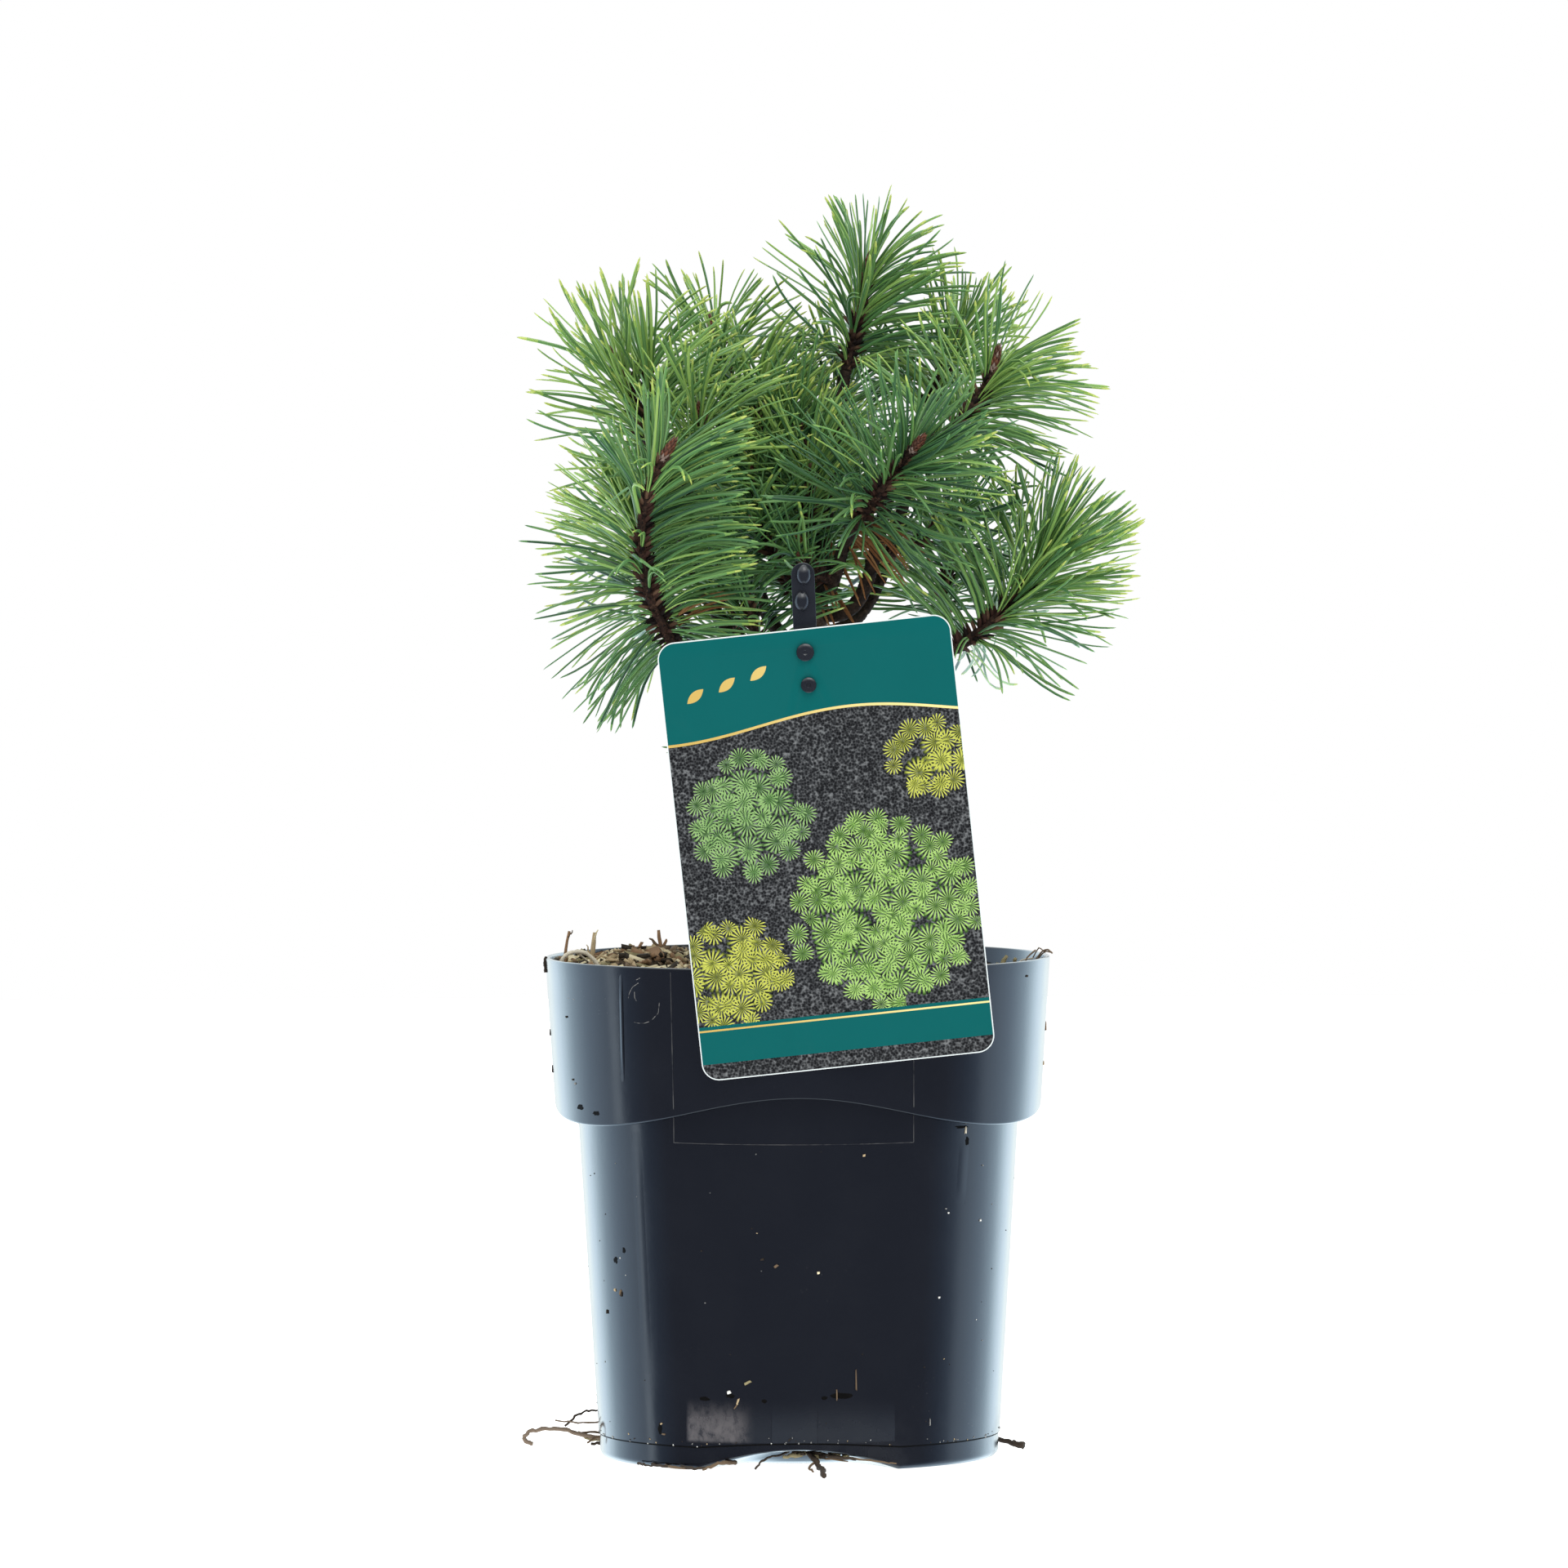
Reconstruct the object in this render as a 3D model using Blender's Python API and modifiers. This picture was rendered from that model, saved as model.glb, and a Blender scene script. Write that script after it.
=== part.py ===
"""A potted dwarf pine: a small young pine on a bare stem, in a black plastic nursery pot.

Sizes are in metres, +Z is up and the front faces -Y. The origin is the centre of the pot's
underside, at ground level. The pine is a trunk, tapering boughs and one leafy shoot on each
bough. A shoot is a scaly stem with needles in a golden-angle spiral and a bud at each tip.
A plain hang label stands at the front, on a slim stake between the soil and the pot's wall.
"""

import math
import random

import bmesh
import bpy
import numpy as np
from mathutils import Matrix, Vector

MM = 0.001
CLEAR = 0.3 * MM
WELD = 0.01 * MM

# The pot: a deep collar over a drafted body, with three arches in its foot.
POT_SEGMENTS = 48
RIM_RADIUS = 95.0 * MM
POT_HEIGHT = 188.0 * MM
DRAFT = math.radians(3.5)
WALL = 1.8 * MM
RIM_ROUND = 0.6 * MM
COLLAR_FOOT = 133.1 * MM
COLLAR_WAVE = 6.2 * MM
COLLAR_RIPPLE = 0.5 * MM
COLLAR_ROUND = 0.9 * MM
COLLAR_REACH = 5.0 * MM
FOOT_RADIUS = 75.6 * MM
FOOT_SEAM = 8.5 * MM
FOOT_INSET = 0.5 * MM
FOOT_ROUND = 2.4 * MM
ROUND_MIDDLE = 1.0 - math.sqrt(0.5)
FLOOR = 2.2 * MM
ARCH_COUNT = 3
ARCH_HEIGHT = 7.7 * MM
ARCH_FOOT_ANGLE = math.radians(30.0)
VAULT_START = 40.0 * MM
VAULT_FULL = 54.0 * MM
DRAIN_RADIUS = 4.5 * MM
DRAIN_PLACE = 62.0 * MM
DRAIN_SIDES = 12

# The soil: filled to just under the rim, mounded to the left and to the back.
SOIL_MIDDLE = 182.5 * MM
SOIL_SEAT = 13.0 * MM
SOIL_RINGS = (28.0 * MM, 50.0 * MM, 72.0 * MM)
SOIL_EDGE_DROP = 2.2 * MM
SOIL_SLOPE_X = -0.035
SOIL_SLOPE_Y = 0.018
SOIL_LUMP = 1.6 * MM
SOIL_WAVE = 10.0 * MM
SOIL_OFF_FLOOR = 1.4 * MM

# The trunk, from its flat cut on the soil to its fork.
TRUNK_FOOT = Vector((-2.0, 2.0, 182.8)) * MM
TRUNK_WAIST = Vector((-1.0, 1.0, 215.0)) * MM
TRUNK_BEND = Vector((3.0, 2.0, 275.0)) * MM
TRUNK_FORK = Vector((9.5, 0.0, 335.0)) * MM
TRUNK_RADIUS_FLARE = 9.0 * MM
TRUNK_RADIUS_LOW = 5.6 * MM
TRUNK_RADIUS_HIGH = 4.1 * MM
FLARE_SHARE = 0.16
TRUNK_STATIONS = 12
STATIONS_TO_FOOT = 1.4

# The boughs and the shoots that they carry, in millimetres: a name, the height where the bough
# leaves the trunk, the shoot's foot, its tip, how far its middle is pushed aside, its side
# twigs and its longest needle.
SHOOTS = (
    ("front_left", 262, (-43, -45, 303), (-49, -60, 377), (-17, -8, 0), 0, 50),
    ("right_low", 254, (58, -13, 303), (95, -21, 340), (4, 0, -3), 0, 50),
    ("back_left_low", 270, (-44, 44, 314), (-60, 59, 357), (-4, 2, 0), 1, 45),
    ("right_back_low", 278, (54, 46, 312), (57, 52, 349), (3, 2, 0), 0, 44),
    ("back_low", 286, (4, 58, 320), (6, 84, 362), (0, 6, 0), 1, 45),
    ("left_high", 296, (-50, 0, 366), (-67, 2, 410), (1, 0, 0), 1, 49),
    ("back_left_high", 304, (-24, 40, 388), (-31, 49, 422), (0, 2, 0), 0, 44),
    ("right_back_high", 310, (50, 34, 391), (61, 40, 422), (0, 0, 0), 0, 44),
    ("right_high", 317, (47, -15, 378), (74, -19, 410), (5, 0, -3), 0, 46),
    ("front_middle", 325, (22, -31, 351), (44, -62, 380), (0, 0, 0), 0, 48),
    ("back_high", 329, (14, 40, 372), (19, 62, 406), (0, 2, 0), 0, 44),
    ("middle", 321, (-6, 14, 352), (-8, 19, 382), (0, 0, 0), 0, 44),
    ("top", 335, (19, 20, 408), (27, 22, 445), (0, 0, 0), 0, 48),
)
BOUGH_RADIUS_FOOT = 2.8 * MM
BOUGH_RADIUS_TIP = 2.1 * MM
BOUGH_STATIONS = 6
CUT_RUN = 1.5 * MM
BOUGH_LEVEL_RUN = 0.36
BOUGH_RISE_RUN = 0.35
BOUGH_GAP = 0.36 * MM
SHOOT_GAP = 0.4 * MM
STEM_RADIUS_FOOT = 2.5 * MM
STEM_RADIUS_TIP = 1.9 * MM
STEM_STATIONS = 5
STEM_LOW_PULL = 0.3
STEM_HIGH_PULL = 0.7
BELLY_PULL = 0.9
TWIG_START = 0.45
TWIG_LENGTH = 0.5
TWIG_SPREAD = math.radians(48.0)
TWIG_AHEAD = 0.5
TWIG_BELLY = 0.1
BUD_RADIUS = 2.3 * MM
BUD_LENGTH = 10.5 * MM
BUD_SINK = 3.0 * MM
BUD_SIDES = 6
BUD_BLUNT = 0.3

# The needles, larger than life and fewer than on the plant.
NEEDLE_STEP = 1.42 * MM
NEEDLE_SHORTEST = 0.82
NEEDLE_FOOT_RADIUS = 1.6 * MM
NEEDLE_TIP_RADIUS = 0.6 * MM
NEEDLE_SIDES = 3
NEEDLE_FIRST = 0.06
NEEDLE_LAST = 0.94
SPREAD_FOOT = math.radians(108.0)
SPREAD_TIP = math.radians(29.0)
SPREAD_POWER = 1.25
SPREAD_JITTER = math.radians(7.0)
NEEDLE_LIFT = 0.16
NEEDLE_TRIES = 4
RETRY_TURN = 0.5
TURN_JITTER = 0.2
GOLDEN_ANGLE = math.pi * (3.0 - math.sqrt(5.0))
NEEDLE_SEED = 20
CROWN_FLOOR = 262.0 * MM

# The hang label and its stake, in a plane that leans like the pot's wall. Places in it are
# across and up from the middle of the rim's front edge.
CARD_WIDTH = 108.7 * MM
CARD_HEIGHT = 163.4 * MM
CARD_THICKNESS = 0.6 * MM
CARD_CORNER = 6.5 * MM
CARD_MIDDLE = (10.6 * MM, 45.3 * MM)
CARD_TILT = math.radians(5.95)
CARD_OFF_COLLAR = 0.4 * MM
STAKE_WIDTH = 8.6 * MM
STAKE_THICKNESS = 1.6 * MM
STAKE_TOP = 150.6 * MM
STAKE_FOOT = -42.0 * MM
STAKE_POINT = 7.0 * MM
STAKE_BLUNT = 0.3
STAKE_MIDDLE = (2.6 * MM, 138.0 * MM)
STAKE_TILT = math.radians(2.0)
STAKE_BEHIND_RIM = 3.8 * MM
STUD_PLACES = ((3.1 * MM, 117.9 * MM), (4.3 * MM, 105.8 * MM))
STUD_HEAD_RADII = (3.3 * MM, 2.9 * MM)
STUD_RADIUS = 1.6 * MM
STUD_HEAD_DEPTH = 1.5 * MM
STUD_HEAD_TAPER = 0.72
STUD_SIDES = 12
SPARE_STUDS = ((2.6 * MM, 146.1 * MM), (1.9 * MM, 136.4 * MM))
SPARE_STUD_SIZE = (2.5 * MM, 1.9 * MM, 3.4 * MM)
SPARE_STUD_SINK = 0.23 * MM
LABEL_MARGIN = 3.0 * MM


def remove_start_objects():
    for thing in list(bpy.data.objects):
        bpy.data.objects.remove(thing, do_unlink=True)


def new_collection(name):
    group = bpy.data.collections.new(name)
    bpy.context.scene.collection.children.link(group)
    return group


def material(name, colour, roughness, metallic=0.0):
    finish = bpy.data.materials.new(name)
    finish.use_nodes = True
    shader = finish.node_tree.nodes["Principled BSDF"]
    shader.inputs["Base Color"].default_value = (*colour, 1.0)
    shader.inputs["Roughness"].default_value = roughness
    shader.inputs["Metallic"].default_value = metallic
    finish.diffuse_color = (*colour, 1.0)
    return finish


def place(thing, group, parent=None, finish=None):
    """Moves an object into a collection, and gives it a parent and a material."""
    for owner in list(thing.users_collection):
        owner.objects.unlink(thing)
    group.objects.link(thing)
    if parent:
        thing.parent = parent
    if finish:
        thing.data.materials.clear()
        thing.data.materials.append(finish)
    return thing


def shade(mesh, degrees=35.0):
    mesh.shade_smooth()
    mesh.set_sharp_from_angle(angle=math.radians(degrees))


def baked(thing, name, weld=True):
    """The object's evaluated shape as a new mesh object, with any loose caps welded."""
    graph = bpy.context.evaluated_depsgraph_get()
    graph.update()
    mesh = bpy.data.meshes.new_from_object(thing.evaluated_get(graph))
    if weld:
        shape = bmesh.new()
        shape.from_mesh(mesh)
        bmesh.ops.remove_doubles(shape, verts=shape.verts, dist=WELD)
        shape.to_mesh(mesh)
        shape.free()
    stood = thing.matrix_world.copy()
    bpy.data.objects.remove(thing, do_unlink=True)
    result = bpy.data.objects.new(name, mesh)
    result.matrix_world = stood
    mesh.name = name
    bpy.context.scene.collection.objects.link(result)
    return result


def turned(name, profile, segments):
    """A solid of revolution from (radius, height) points that start and end on the axis."""
    mesh = bpy.data.meshes.new(name)
    points = [(radius, 0.0, height) for radius, height in profile]
    mesh.from_pydata(points, [(i, i + 1) for i in range(len(points) - 1)], [])
    thing = bpy.data.objects.new(name, mesh)
    bpy.context.scene.collection.objects.link(thing)
    screw = thing.modifiers.new("turn", "SCREW")
    screw.steps = segments
    screw.render_steps = segments
    screw.use_merge_vertices = True
    screw.merge_threshold = WELD
    return baked(thing, name)


def tube(name, points, radii, roundness):
    """A tapering limb: a curve through the points, with a radius at each."""
    curve = bpy.data.curves.new(name, "CURVE")
    curve.dimensions = "3D"
    curve.bevel_depth = 1.0
    curve.bevel_resolution = roundness
    curve.use_fill_caps = True
    spline = curve.splines.new("POLY")
    spline.points.add(len(points) - 1)
    for spot, point, radius in zip(spline.points, points, radii):
        spot.co = (*point, 1.0)
        spot.radius = radius
    thing = bpy.data.objects.new(name, curve)
    bpy.context.scene.collection.objects.link(thing)
    return baked(thing, name)


def flat_plate(name, outlines, thickness):
    """A plate in the XZ plane, from closed outlines of (across, up) points; inner ones are holes."""
    curve = bpy.data.curves.new(name, "CURVE")
    curve.dimensions = "2D"
    curve.fill_mode = "BOTH"
    curve.extrude = thickness / 2.0
    for outline in outlines:
        spline = curve.splines.new("POLY")
        spline.points.add(len(outline) - 1)
        for spot, (across, up) in zip(spline.points, outline):
            spot.co = (across, up, 0.0, 1.0)
        spline.use_cyclic_u = True
    thing = bpy.data.objects.new(name, curve)
    thing.rotation_euler = (math.pi / 2.0, 0.0, 0.0)
    bpy.context.scene.collection.objects.link(thing)
    plate = baked(thing, name)
    plate.data.transform(plate.matrix_world)
    plate.matrix_world = Matrix.Identity(4)
    return plate


def union(core, extras, solver, name):
    """Joins the core with every object of a collection, then removes that collection's objects."""
    join = core.modifiers.new("join", "BOOLEAN")
    join.operation = "UNION"
    join.operand_type = "COLLECTION"
    join.collection = extras
    join.solver = solver
    joined = baked(core, name, weld=False)
    for thing in list(extras.objects):
        bpy.data.objects.remove(thing, do_unlink=True)
    bpy.data.collections.remove(extras)
    return joined


def smooth_step(low, high, value):
    share = min(max((value - low) / (high - low), 0.0), 1.0)
    return share * share * (3.0 - 2.0 * share)


def collar_wave(angle):
    """The collar's lower edge rises over each arch of the foot; the front is at -90 degrees."""
    turn = ARCH_COUNT * (angle + math.pi / 2.0)
    return COLLAR_WAVE * math.cos(turn) + COLLAR_RIPPLE * math.cos(2.0 * turn)


def arch_lift(angle, radius):
    """How far the underside is raised, by the angle to the nearest arch and by the radius."""
    turn = 2.0 * math.pi / ARCH_COUNT
    off = (angle + math.pi / 2.0 + turn / 2.0) % turn - turn / 2.0
    side = math.cos(min(abs(off) / ARCH_FOOT_ANGLE, 1.0) * math.pi / 2.0)
    return ARCH_HEIGHT * side * smooth_step(VAULT_START, VAULT_FULL, radius)


def collar_radius(height):
    return RIM_RADIUS - (POT_HEIGHT - height) * math.tan(DRAFT)


def body_radius(height):
    return FOOT_RADIUS + (height - FOOT_SEAM) * math.tan(DRAFT)


def bend_pot(mesh, inner_floor):
    """Gives a turned pot or soil its wavy collar edge and its arches."""
    for vertex in mesh.vertices:
        x, y, z = vertex.co
        radius = math.hypot(x, y)
        angle = math.atan2(y, x)
        if abs(z - COLLAR_FOOT) < COLLAR_REACH:
            rise = collar_wave(angle)
            grown = (radius + rise * math.tan(DRAFT)) / radius
            vertex.co = (x * grown, y * grown, z + rise)
        elif z <= FOOT_SEAM and radius > VAULT_START:
            lift = arch_lift(angle, radius)
            on_floor = abs(z - inner_floor) < WELD
            share = 1.0 if on_floor else 1.0 - z / FOOT_SEAM
            vertex.co.z = z + lift * share


def build_pot(group, cutters, parent):
    inner = WALL
    edge = COLLAR_FOOT
    foot = FOOT_RADIUS - FOOT_INSET
    profile = [
        (0.0, FLOOR),
        (VAULT_START, FLOOR),
        ((VAULT_START + VAULT_FULL) / 2.0, FLOOR),
        (VAULT_FULL, FLOOR),
        (foot - inner - FOOT_ROUND, FLOOR),
        (body_radius(FOOT_SEAM * 2.0) - inner, FOOT_SEAM * 2.0),
        (body_radius(edge) - inner, edge + inner),
        (collar_radius(edge) - inner, edge + inner),
        (collar_radius(POT_HEIGHT) - inner, POT_HEIGHT - RIM_ROUND),
        (collar_radius(POT_HEIGHT) - inner + RIM_ROUND, POT_HEIGHT),
        (collar_radius(POT_HEIGHT) - RIM_ROUND, POT_HEIGHT),
        (collar_radius(POT_HEIGHT), POT_HEIGHT - RIM_ROUND),
        (collar_radius(edge), edge + COLLAR_ROUND),
        (collar_radius(edge) - COLLAR_ROUND, edge),
        (body_radius(edge), edge),
        (body_radius(FOOT_SEAM), FOOT_SEAM),
        (foot, FOOT_SEAM - FOOT_INSET),
        (foot, FOOT_ROUND),
        (foot - FOOT_ROUND * ROUND_MIDDLE, FOOT_ROUND * ROUND_MIDDLE),
        (foot - FOOT_ROUND, 0.0),
        (VAULT_FULL, 0.0),
        ((VAULT_START + VAULT_FULL) / 2.0, 0.0),
        (VAULT_START, 0.0),
        (0.0, 0.0),
    ]
    pot = turned("pot", profile, POT_SEGMENTS)
    bend_pot(pot.data, FLOOR)
    shade(pot.data)
    for number in range(ARCH_COUNT):
        angle = -math.pi / 2.0 + number * 2.0 * math.pi / ARCH_COUNT
        middle = (DRAIN_PLACE * math.cos(angle), DRAIN_PLACE * math.sin(angle), ARCH_HEIGHT)
        bpy.ops.mesh.primitive_cylinder_add(
            vertices=DRAIN_SIDES, radius=DRAIN_RADIUS, depth=FOOT_SEAM * 2.0, location=middle
        )
        drill = place(bpy.context.object, cutters)
        drill.name = "drain_cutter_%d" % (number + 1)
        drill.hide_render = True
        drill.display_type = "WIRE"
        cut = pot.modifiers.new("drain", "BOOLEAN")
        cut.object = drill
        cut.solver = "EXACT"
    plastic = material("pot_plastic", (0.0110, 0.0115, 0.0160), 0.28)
    return place(pot, group, parent, plastic)


def soil_height(x, y):
    """The top of the soil: level at the trunk, higher to the left and the back, a little lumpy."""
    radius = math.hypot(x, y)
    away = smooth_step(SOIL_SEAT, SOIL_RINGS[1], radius)
    lumps = math.sin(x / SOIL_WAVE + 1.0) * math.sin(y / SOIL_WAVE + 2.0)
    sag = SOIL_EDGE_DROP * smooth_step(SOIL_RINGS[1], RIM_RADIUS, radius)
    slope = SOIL_SLOPE_X * x + SOIL_SLOPE_Y * y
    return SOIL_MIDDLE + away * (slope + SOIL_LUMP * lumps) - sag


def build_soil(group, cutters, parent):
    skin = WALL + CLEAR
    edge = COLLAR_FOOT
    floor = FLOOR + SOIL_OFF_FLOOR
    foot = FOOT_RADIUS - FOOT_INSET - FOOT_ROUND - WALL - SOIL_OFF_FLOOR
    top_edge = collar_radius(SOIL_MIDDLE) - skin
    profile = [(0.0, SOIL_MIDDLE), (SOIL_SEAT, SOIL_MIDDLE)]
    profile += [(ring, SOIL_MIDDLE) for ring in SOIL_RINGS]
    profile += [
        (top_edge, SOIL_MIDDLE),
        (collar_radius(edge) - skin, edge + skin),
        (body_radius(edge) - skin, edge + skin),
        (body_radius(FOOT_SEAM * 2.0) - skin, FOOT_SEAM * 2.0),
        (foot, floor),
        (VAULT_FULL, floor),
        ((VAULT_START + VAULT_FULL) / 2.0, floor),
        (VAULT_START, floor),
        (0.0, floor),
    ]
    soil = turned("soil", profile, POT_SEGMENTS)
    bend_pot(soil.data, floor)
    for vertex in soil.data.vertices:
        x, y, z = vertex.co
        if abs(z - SOIL_MIDDLE) < WELD:
            height = soil_height(x, y)
            radius = math.hypot(x, y)
            grown = 1.0
            if radius > top_edge - WELD:
                grown = (collar_radius(height) - skin) / radius
            vertex.co = (x * grown, y * grown, height)
    pocket = build_stake_body("stake_pocket_cutter", CLEAR)
    place(pocket, cutters)
    pocket.hide_render = True
    pocket.display_type = "WIRE"
    cut = soil.modifiers.new("stake pocket", "BOOLEAN")
    cut.object = pocket
    cut.solver = "EXACT"
    shade(soil.data, 60.0)
    bark_mix = material("potting_soil", (0.085, 0.045, 0.025), 0.95)
    return place(soil, group, parent, bark_mix)


def label_plane(off_rim):
    """The frame of the label's plane, so far in front of the rim's edge, leaning like the wall."""
    move = Matrix.Translation((0.0, -RIM_RADIUS, POT_HEIGHT))
    lean = Matrix.Rotation(DRAFT, 4, "X")
    return move @ lean @ Matrix.Translation((0.0, -off_rim, 0.0))


def turned_in_plane(middle, tilt):
    move = Matrix.Translation((middle[0], 0.0, middle[1]))
    return move @ Matrix.Rotation(-tilt, 4, "Y")


def arc(middle, radius, start, end, steps):
    points = []
    for number in range(steps + 1):
        angle = start + (end - start) * number / steps
        points.append((middle[0] + radius * math.cos(angle), middle[1] + radius * math.sin(angle)))
    return points


def build_stake_body(name, grown):
    """The stake's flat bar with a round top and a pointed foot, swollen by the given amount."""
    half = STAKE_WIDTH / 2.0 + grown
    top = STAKE_TOP - STAKE_MIDDLE[1]
    foot = STAKE_FOOT - STAKE_MIDDLE[1] - grown
    outline = arc((0.0, top - STAKE_WIDTH / 2.0), half, 0.0, math.pi, 8)
    blunt = half * STAKE_BLUNT
    outline += [(-half, foot + STAKE_POINT), (-blunt, foot), (blunt, foot)]
    outline += [(half, foot + STAKE_POINT)]
    bar = flat_plate(name, [outline], STAKE_THICKNESS + 2.0 * grown)
    middle = turned_in_plane(STAKE_MIDDLE, STAKE_TILT)
    bar.data.transform(label_plane(-STAKE_BEHIND_RIM - STAKE_THICKNESS / 2.0) @ middle)
    return bar


def build_label_stake(group, parent):
    bar = build_stake_body("label_stake", 0.0)
    extras = new_collection("stake parts")
    plane = label_plane(0.0)
    out_of_plane = Matrix.Rotation(math.pi / 2.0, 4, "X")
    shaft_start = STAKE_BEHIND_RIM + STAKE_THICKNESS / 2.0
    head_start = CARD_OFF_COLLAR + CARD_THICKNESS + CLEAR
    shaft_end = head_start + STUD_HEAD_DEPTH / 2.0
    for (across, up), head in zip(STUD_PLACES, STUD_HEAD_RADII):
        length = shaft_start + shaft_end
        bpy.ops.mesh.primitive_cylinder_add(vertices=STUD_SIDES, radius=STUD_RADIUS, depth=length)
        shaft = place(bpy.context.object, extras)
        spot = Matrix.Translation((across, shaft_start - length / 2.0, up))
        shaft.data.transform(plane @ spot @ out_of_plane)
        bpy.ops.mesh.primitive_cone_add(
            vertices=STUD_SIDES,
            radius1=head,
            radius2=head * STUD_HEAD_TAPER,
            depth=STUD_HEAD_DEPTH,
        )
        cap = place(bpy.context.object, extras)
        spot = Matrix.Translation((across, -head_start - STUD_HEAD_DEPTH / 2.0, up))
        cap.data.transform(plane @ spot @ out_of_plane)
    for across, up in SPARE_STUDS:
        bpy.ops.mesh.primitive_uv_sphere_add(segments=8, ring_count=5, radius=1.0)
        bump = place(bpy.context.object, extras)
        spot = Matrix.Translation((across, STAKE_BEHIND_RIM + SPARE_STUD_SINK, up))
        bump.data.transform(plane @ spot @ Matrix.Diagonal((*SPARE_STUD_SIZE, 1.0)))
    stake = union(bar, extras, "EXACT", "label_stake")
    shade(stake.data)
    black = material("stake_plastic", (0.012, 0.013, 0.018), 0.35)
    return place(stake, group, parent, black)


def build_label_card(group, parent):
    """A thin card with round corners and two holes, hung on the stake's studs."""
    wide = CARD_WIDTH / 2.0 - CARD_CORNER
    tall = CARD_HEIGHT / 2.0 - CARD_CORNER
    outline = []
    for number, (side, end) in enumerate(((1, 1), (-1, 1), (-1, -1), (1, -1))):
        start = number * math.pi / 2.0
        corner = (side * wide, end * tall)
        outline += arc(corner, CARD_CORNER, start, start + math.pi / 2.0, 5)
    card_place = turned_in_plane(CARD_MIDDLE, CARD_TILT)
    outlines = [outline]
    for across, up in STUD_PLACES:
        hole = card_place.inverted() @ Vector((across, 0.0, up))
        round_hole = arc((hole.x, hole.z), STUD_RADIUS + CLEAR, 0.0, 2.0 * math.pi, STUD_SIDES)
        outlines.append(round_hole[:-1])
    card = flat_plate("label_card", outlines, CARD_THICKNESS)
    off_rim = CARD_OFF_COLLAR + CARD_THICKNESS / 2.0
    card.data.transform(label_plane(off_rim) @ card_place)
    print_sheet = material("label_print", (0.0, 0.155, 0.135), 0.3)
    return place(card, group, parent, print_sheet)


def bezier(points, share):
    """A point and a direction on the cubic curve of four points."""
    a, b, c, d = points
    rest = 1.0 - share
    spot = a * rest**3 + b * (3.0 * rest * rest * share) + c * (3.0 * rest * share**2) + d * share**3
    way = (b - a) * (rest * rest) + (c - b) * (2.0 * rest * share) + (d - c) * (share * share)
    return spot, way.normalized()


def trunk_at(height):
    """The trunk's middle, direction and radius at a height."""
    controls = (TRUNK_FOOT, TRUNK_WAIST, TRUNK_BEND, TRUNK_FORK)
    low, high = 0.0, 1.0
    for _ in range(30):
        share = (low + high) / 2.0
        if bezier(controls, share)[0].z < height:
            low = share
        else:
            high = share
    spot, way = bezier(controls, share)
    return spot, way, trunk_radius(share)


def trunk_radius(share):
    flare = (TRUNK_RADIUS_FLARE - TRUNK_RADIUS_LOW) * max(0.0, 1.0 - share / FLARE_SHARE) ** 2
    return TRUNK_RADIUS_LOW + (TRUNK_RADIUS_HIGH - TRUNK_RADIUS_LOW) * share + flare


def build_trunk(group, parent, bark):
    controls = (TRUNK_FOOT, TRUNK_WAIST, TRUNK_BEND, TRUNK_FORK)
    steps = [number / (TRUNK_STATIONS - 1) for number in range(TRUNK_STATIONS)]
    shares = [step**STATIONS_TO_FOOT for step in steps]
    points = [bezier(controls, share)[0] for share in shares]
    points[1] = Vector((points[0].x, points[0].y, points[1].z))
    trunk = tube("trunk", points, [trunk_radius(share) for share in shares], 2)
    shade(trunk.data, 50.0)
    return place(trunk, group, parent, bark)


def bough_controls(height, foot, toward):
    """A bough's curve, from 0.3 mm off the trunk to 0.3 mm short of the shoot's foot."""
    spot, way, radius = trunk_at(height)
    end = foot - toward * SHOOT_GAP
    if height >= TRUNK_FORK.z - WELD:
        start = TRUNK_FORK + way * BOUGH_GAP
        out = way
    else:
        out = end - spot
        out = (out - way * out.dot(way)).normalized()
        start = spot + out * (radius + BOUGH_GAP)
    reach = (end - start).length
    lead = out * (reach * BOUGH_LEVEL_RUN)
    return (start, start + lead, end - toward * (reach * BOUGH_RISE_RUN), end)


def stem_controls(foot, tip, belly):
    """A shoot's stem: it leaves its foot along the belly's side and turns up into its tip."""
    line = tip - foot
    push = belly * BELLY_PULL
    return (foot, foot + line * STEM_LOW_PULL + push, foot + line * STEM_HIGH_PULL + push, tip)


def limb_points(controls, stations, thick, thin):
    """Points and radii along a limb, with a short straight run at each end under its flat cut."""
    shares = [number / (stations - 1) for number in range(stations)]
    points = [bezier(controls, share)[0] for share in shares]
    radii = [thick + (thin - thick) * share for share in shares]
    points.insert(1, points[0] + bezier(controls, 0.0)[1] * CUT_RUN)
    points.insert(-1, points[-1] - bezier(controls, 1.0)[1] * CUT_RUN)
    radii.insert(1, radii[0])
    radii.insert(-1, radii[-1])
    return points, radii


def side_frame(way):
    """Two directions square to the way and to each other."""
    side = way.cross(Vector((0.0, 0.0, 1.0)))
    if side.length < 0.1:
        side = way.cross(Vector((0.0, 1.0, 0.0)))
    side.normalize()
    return side, way.cross(side).normalized()


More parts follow.
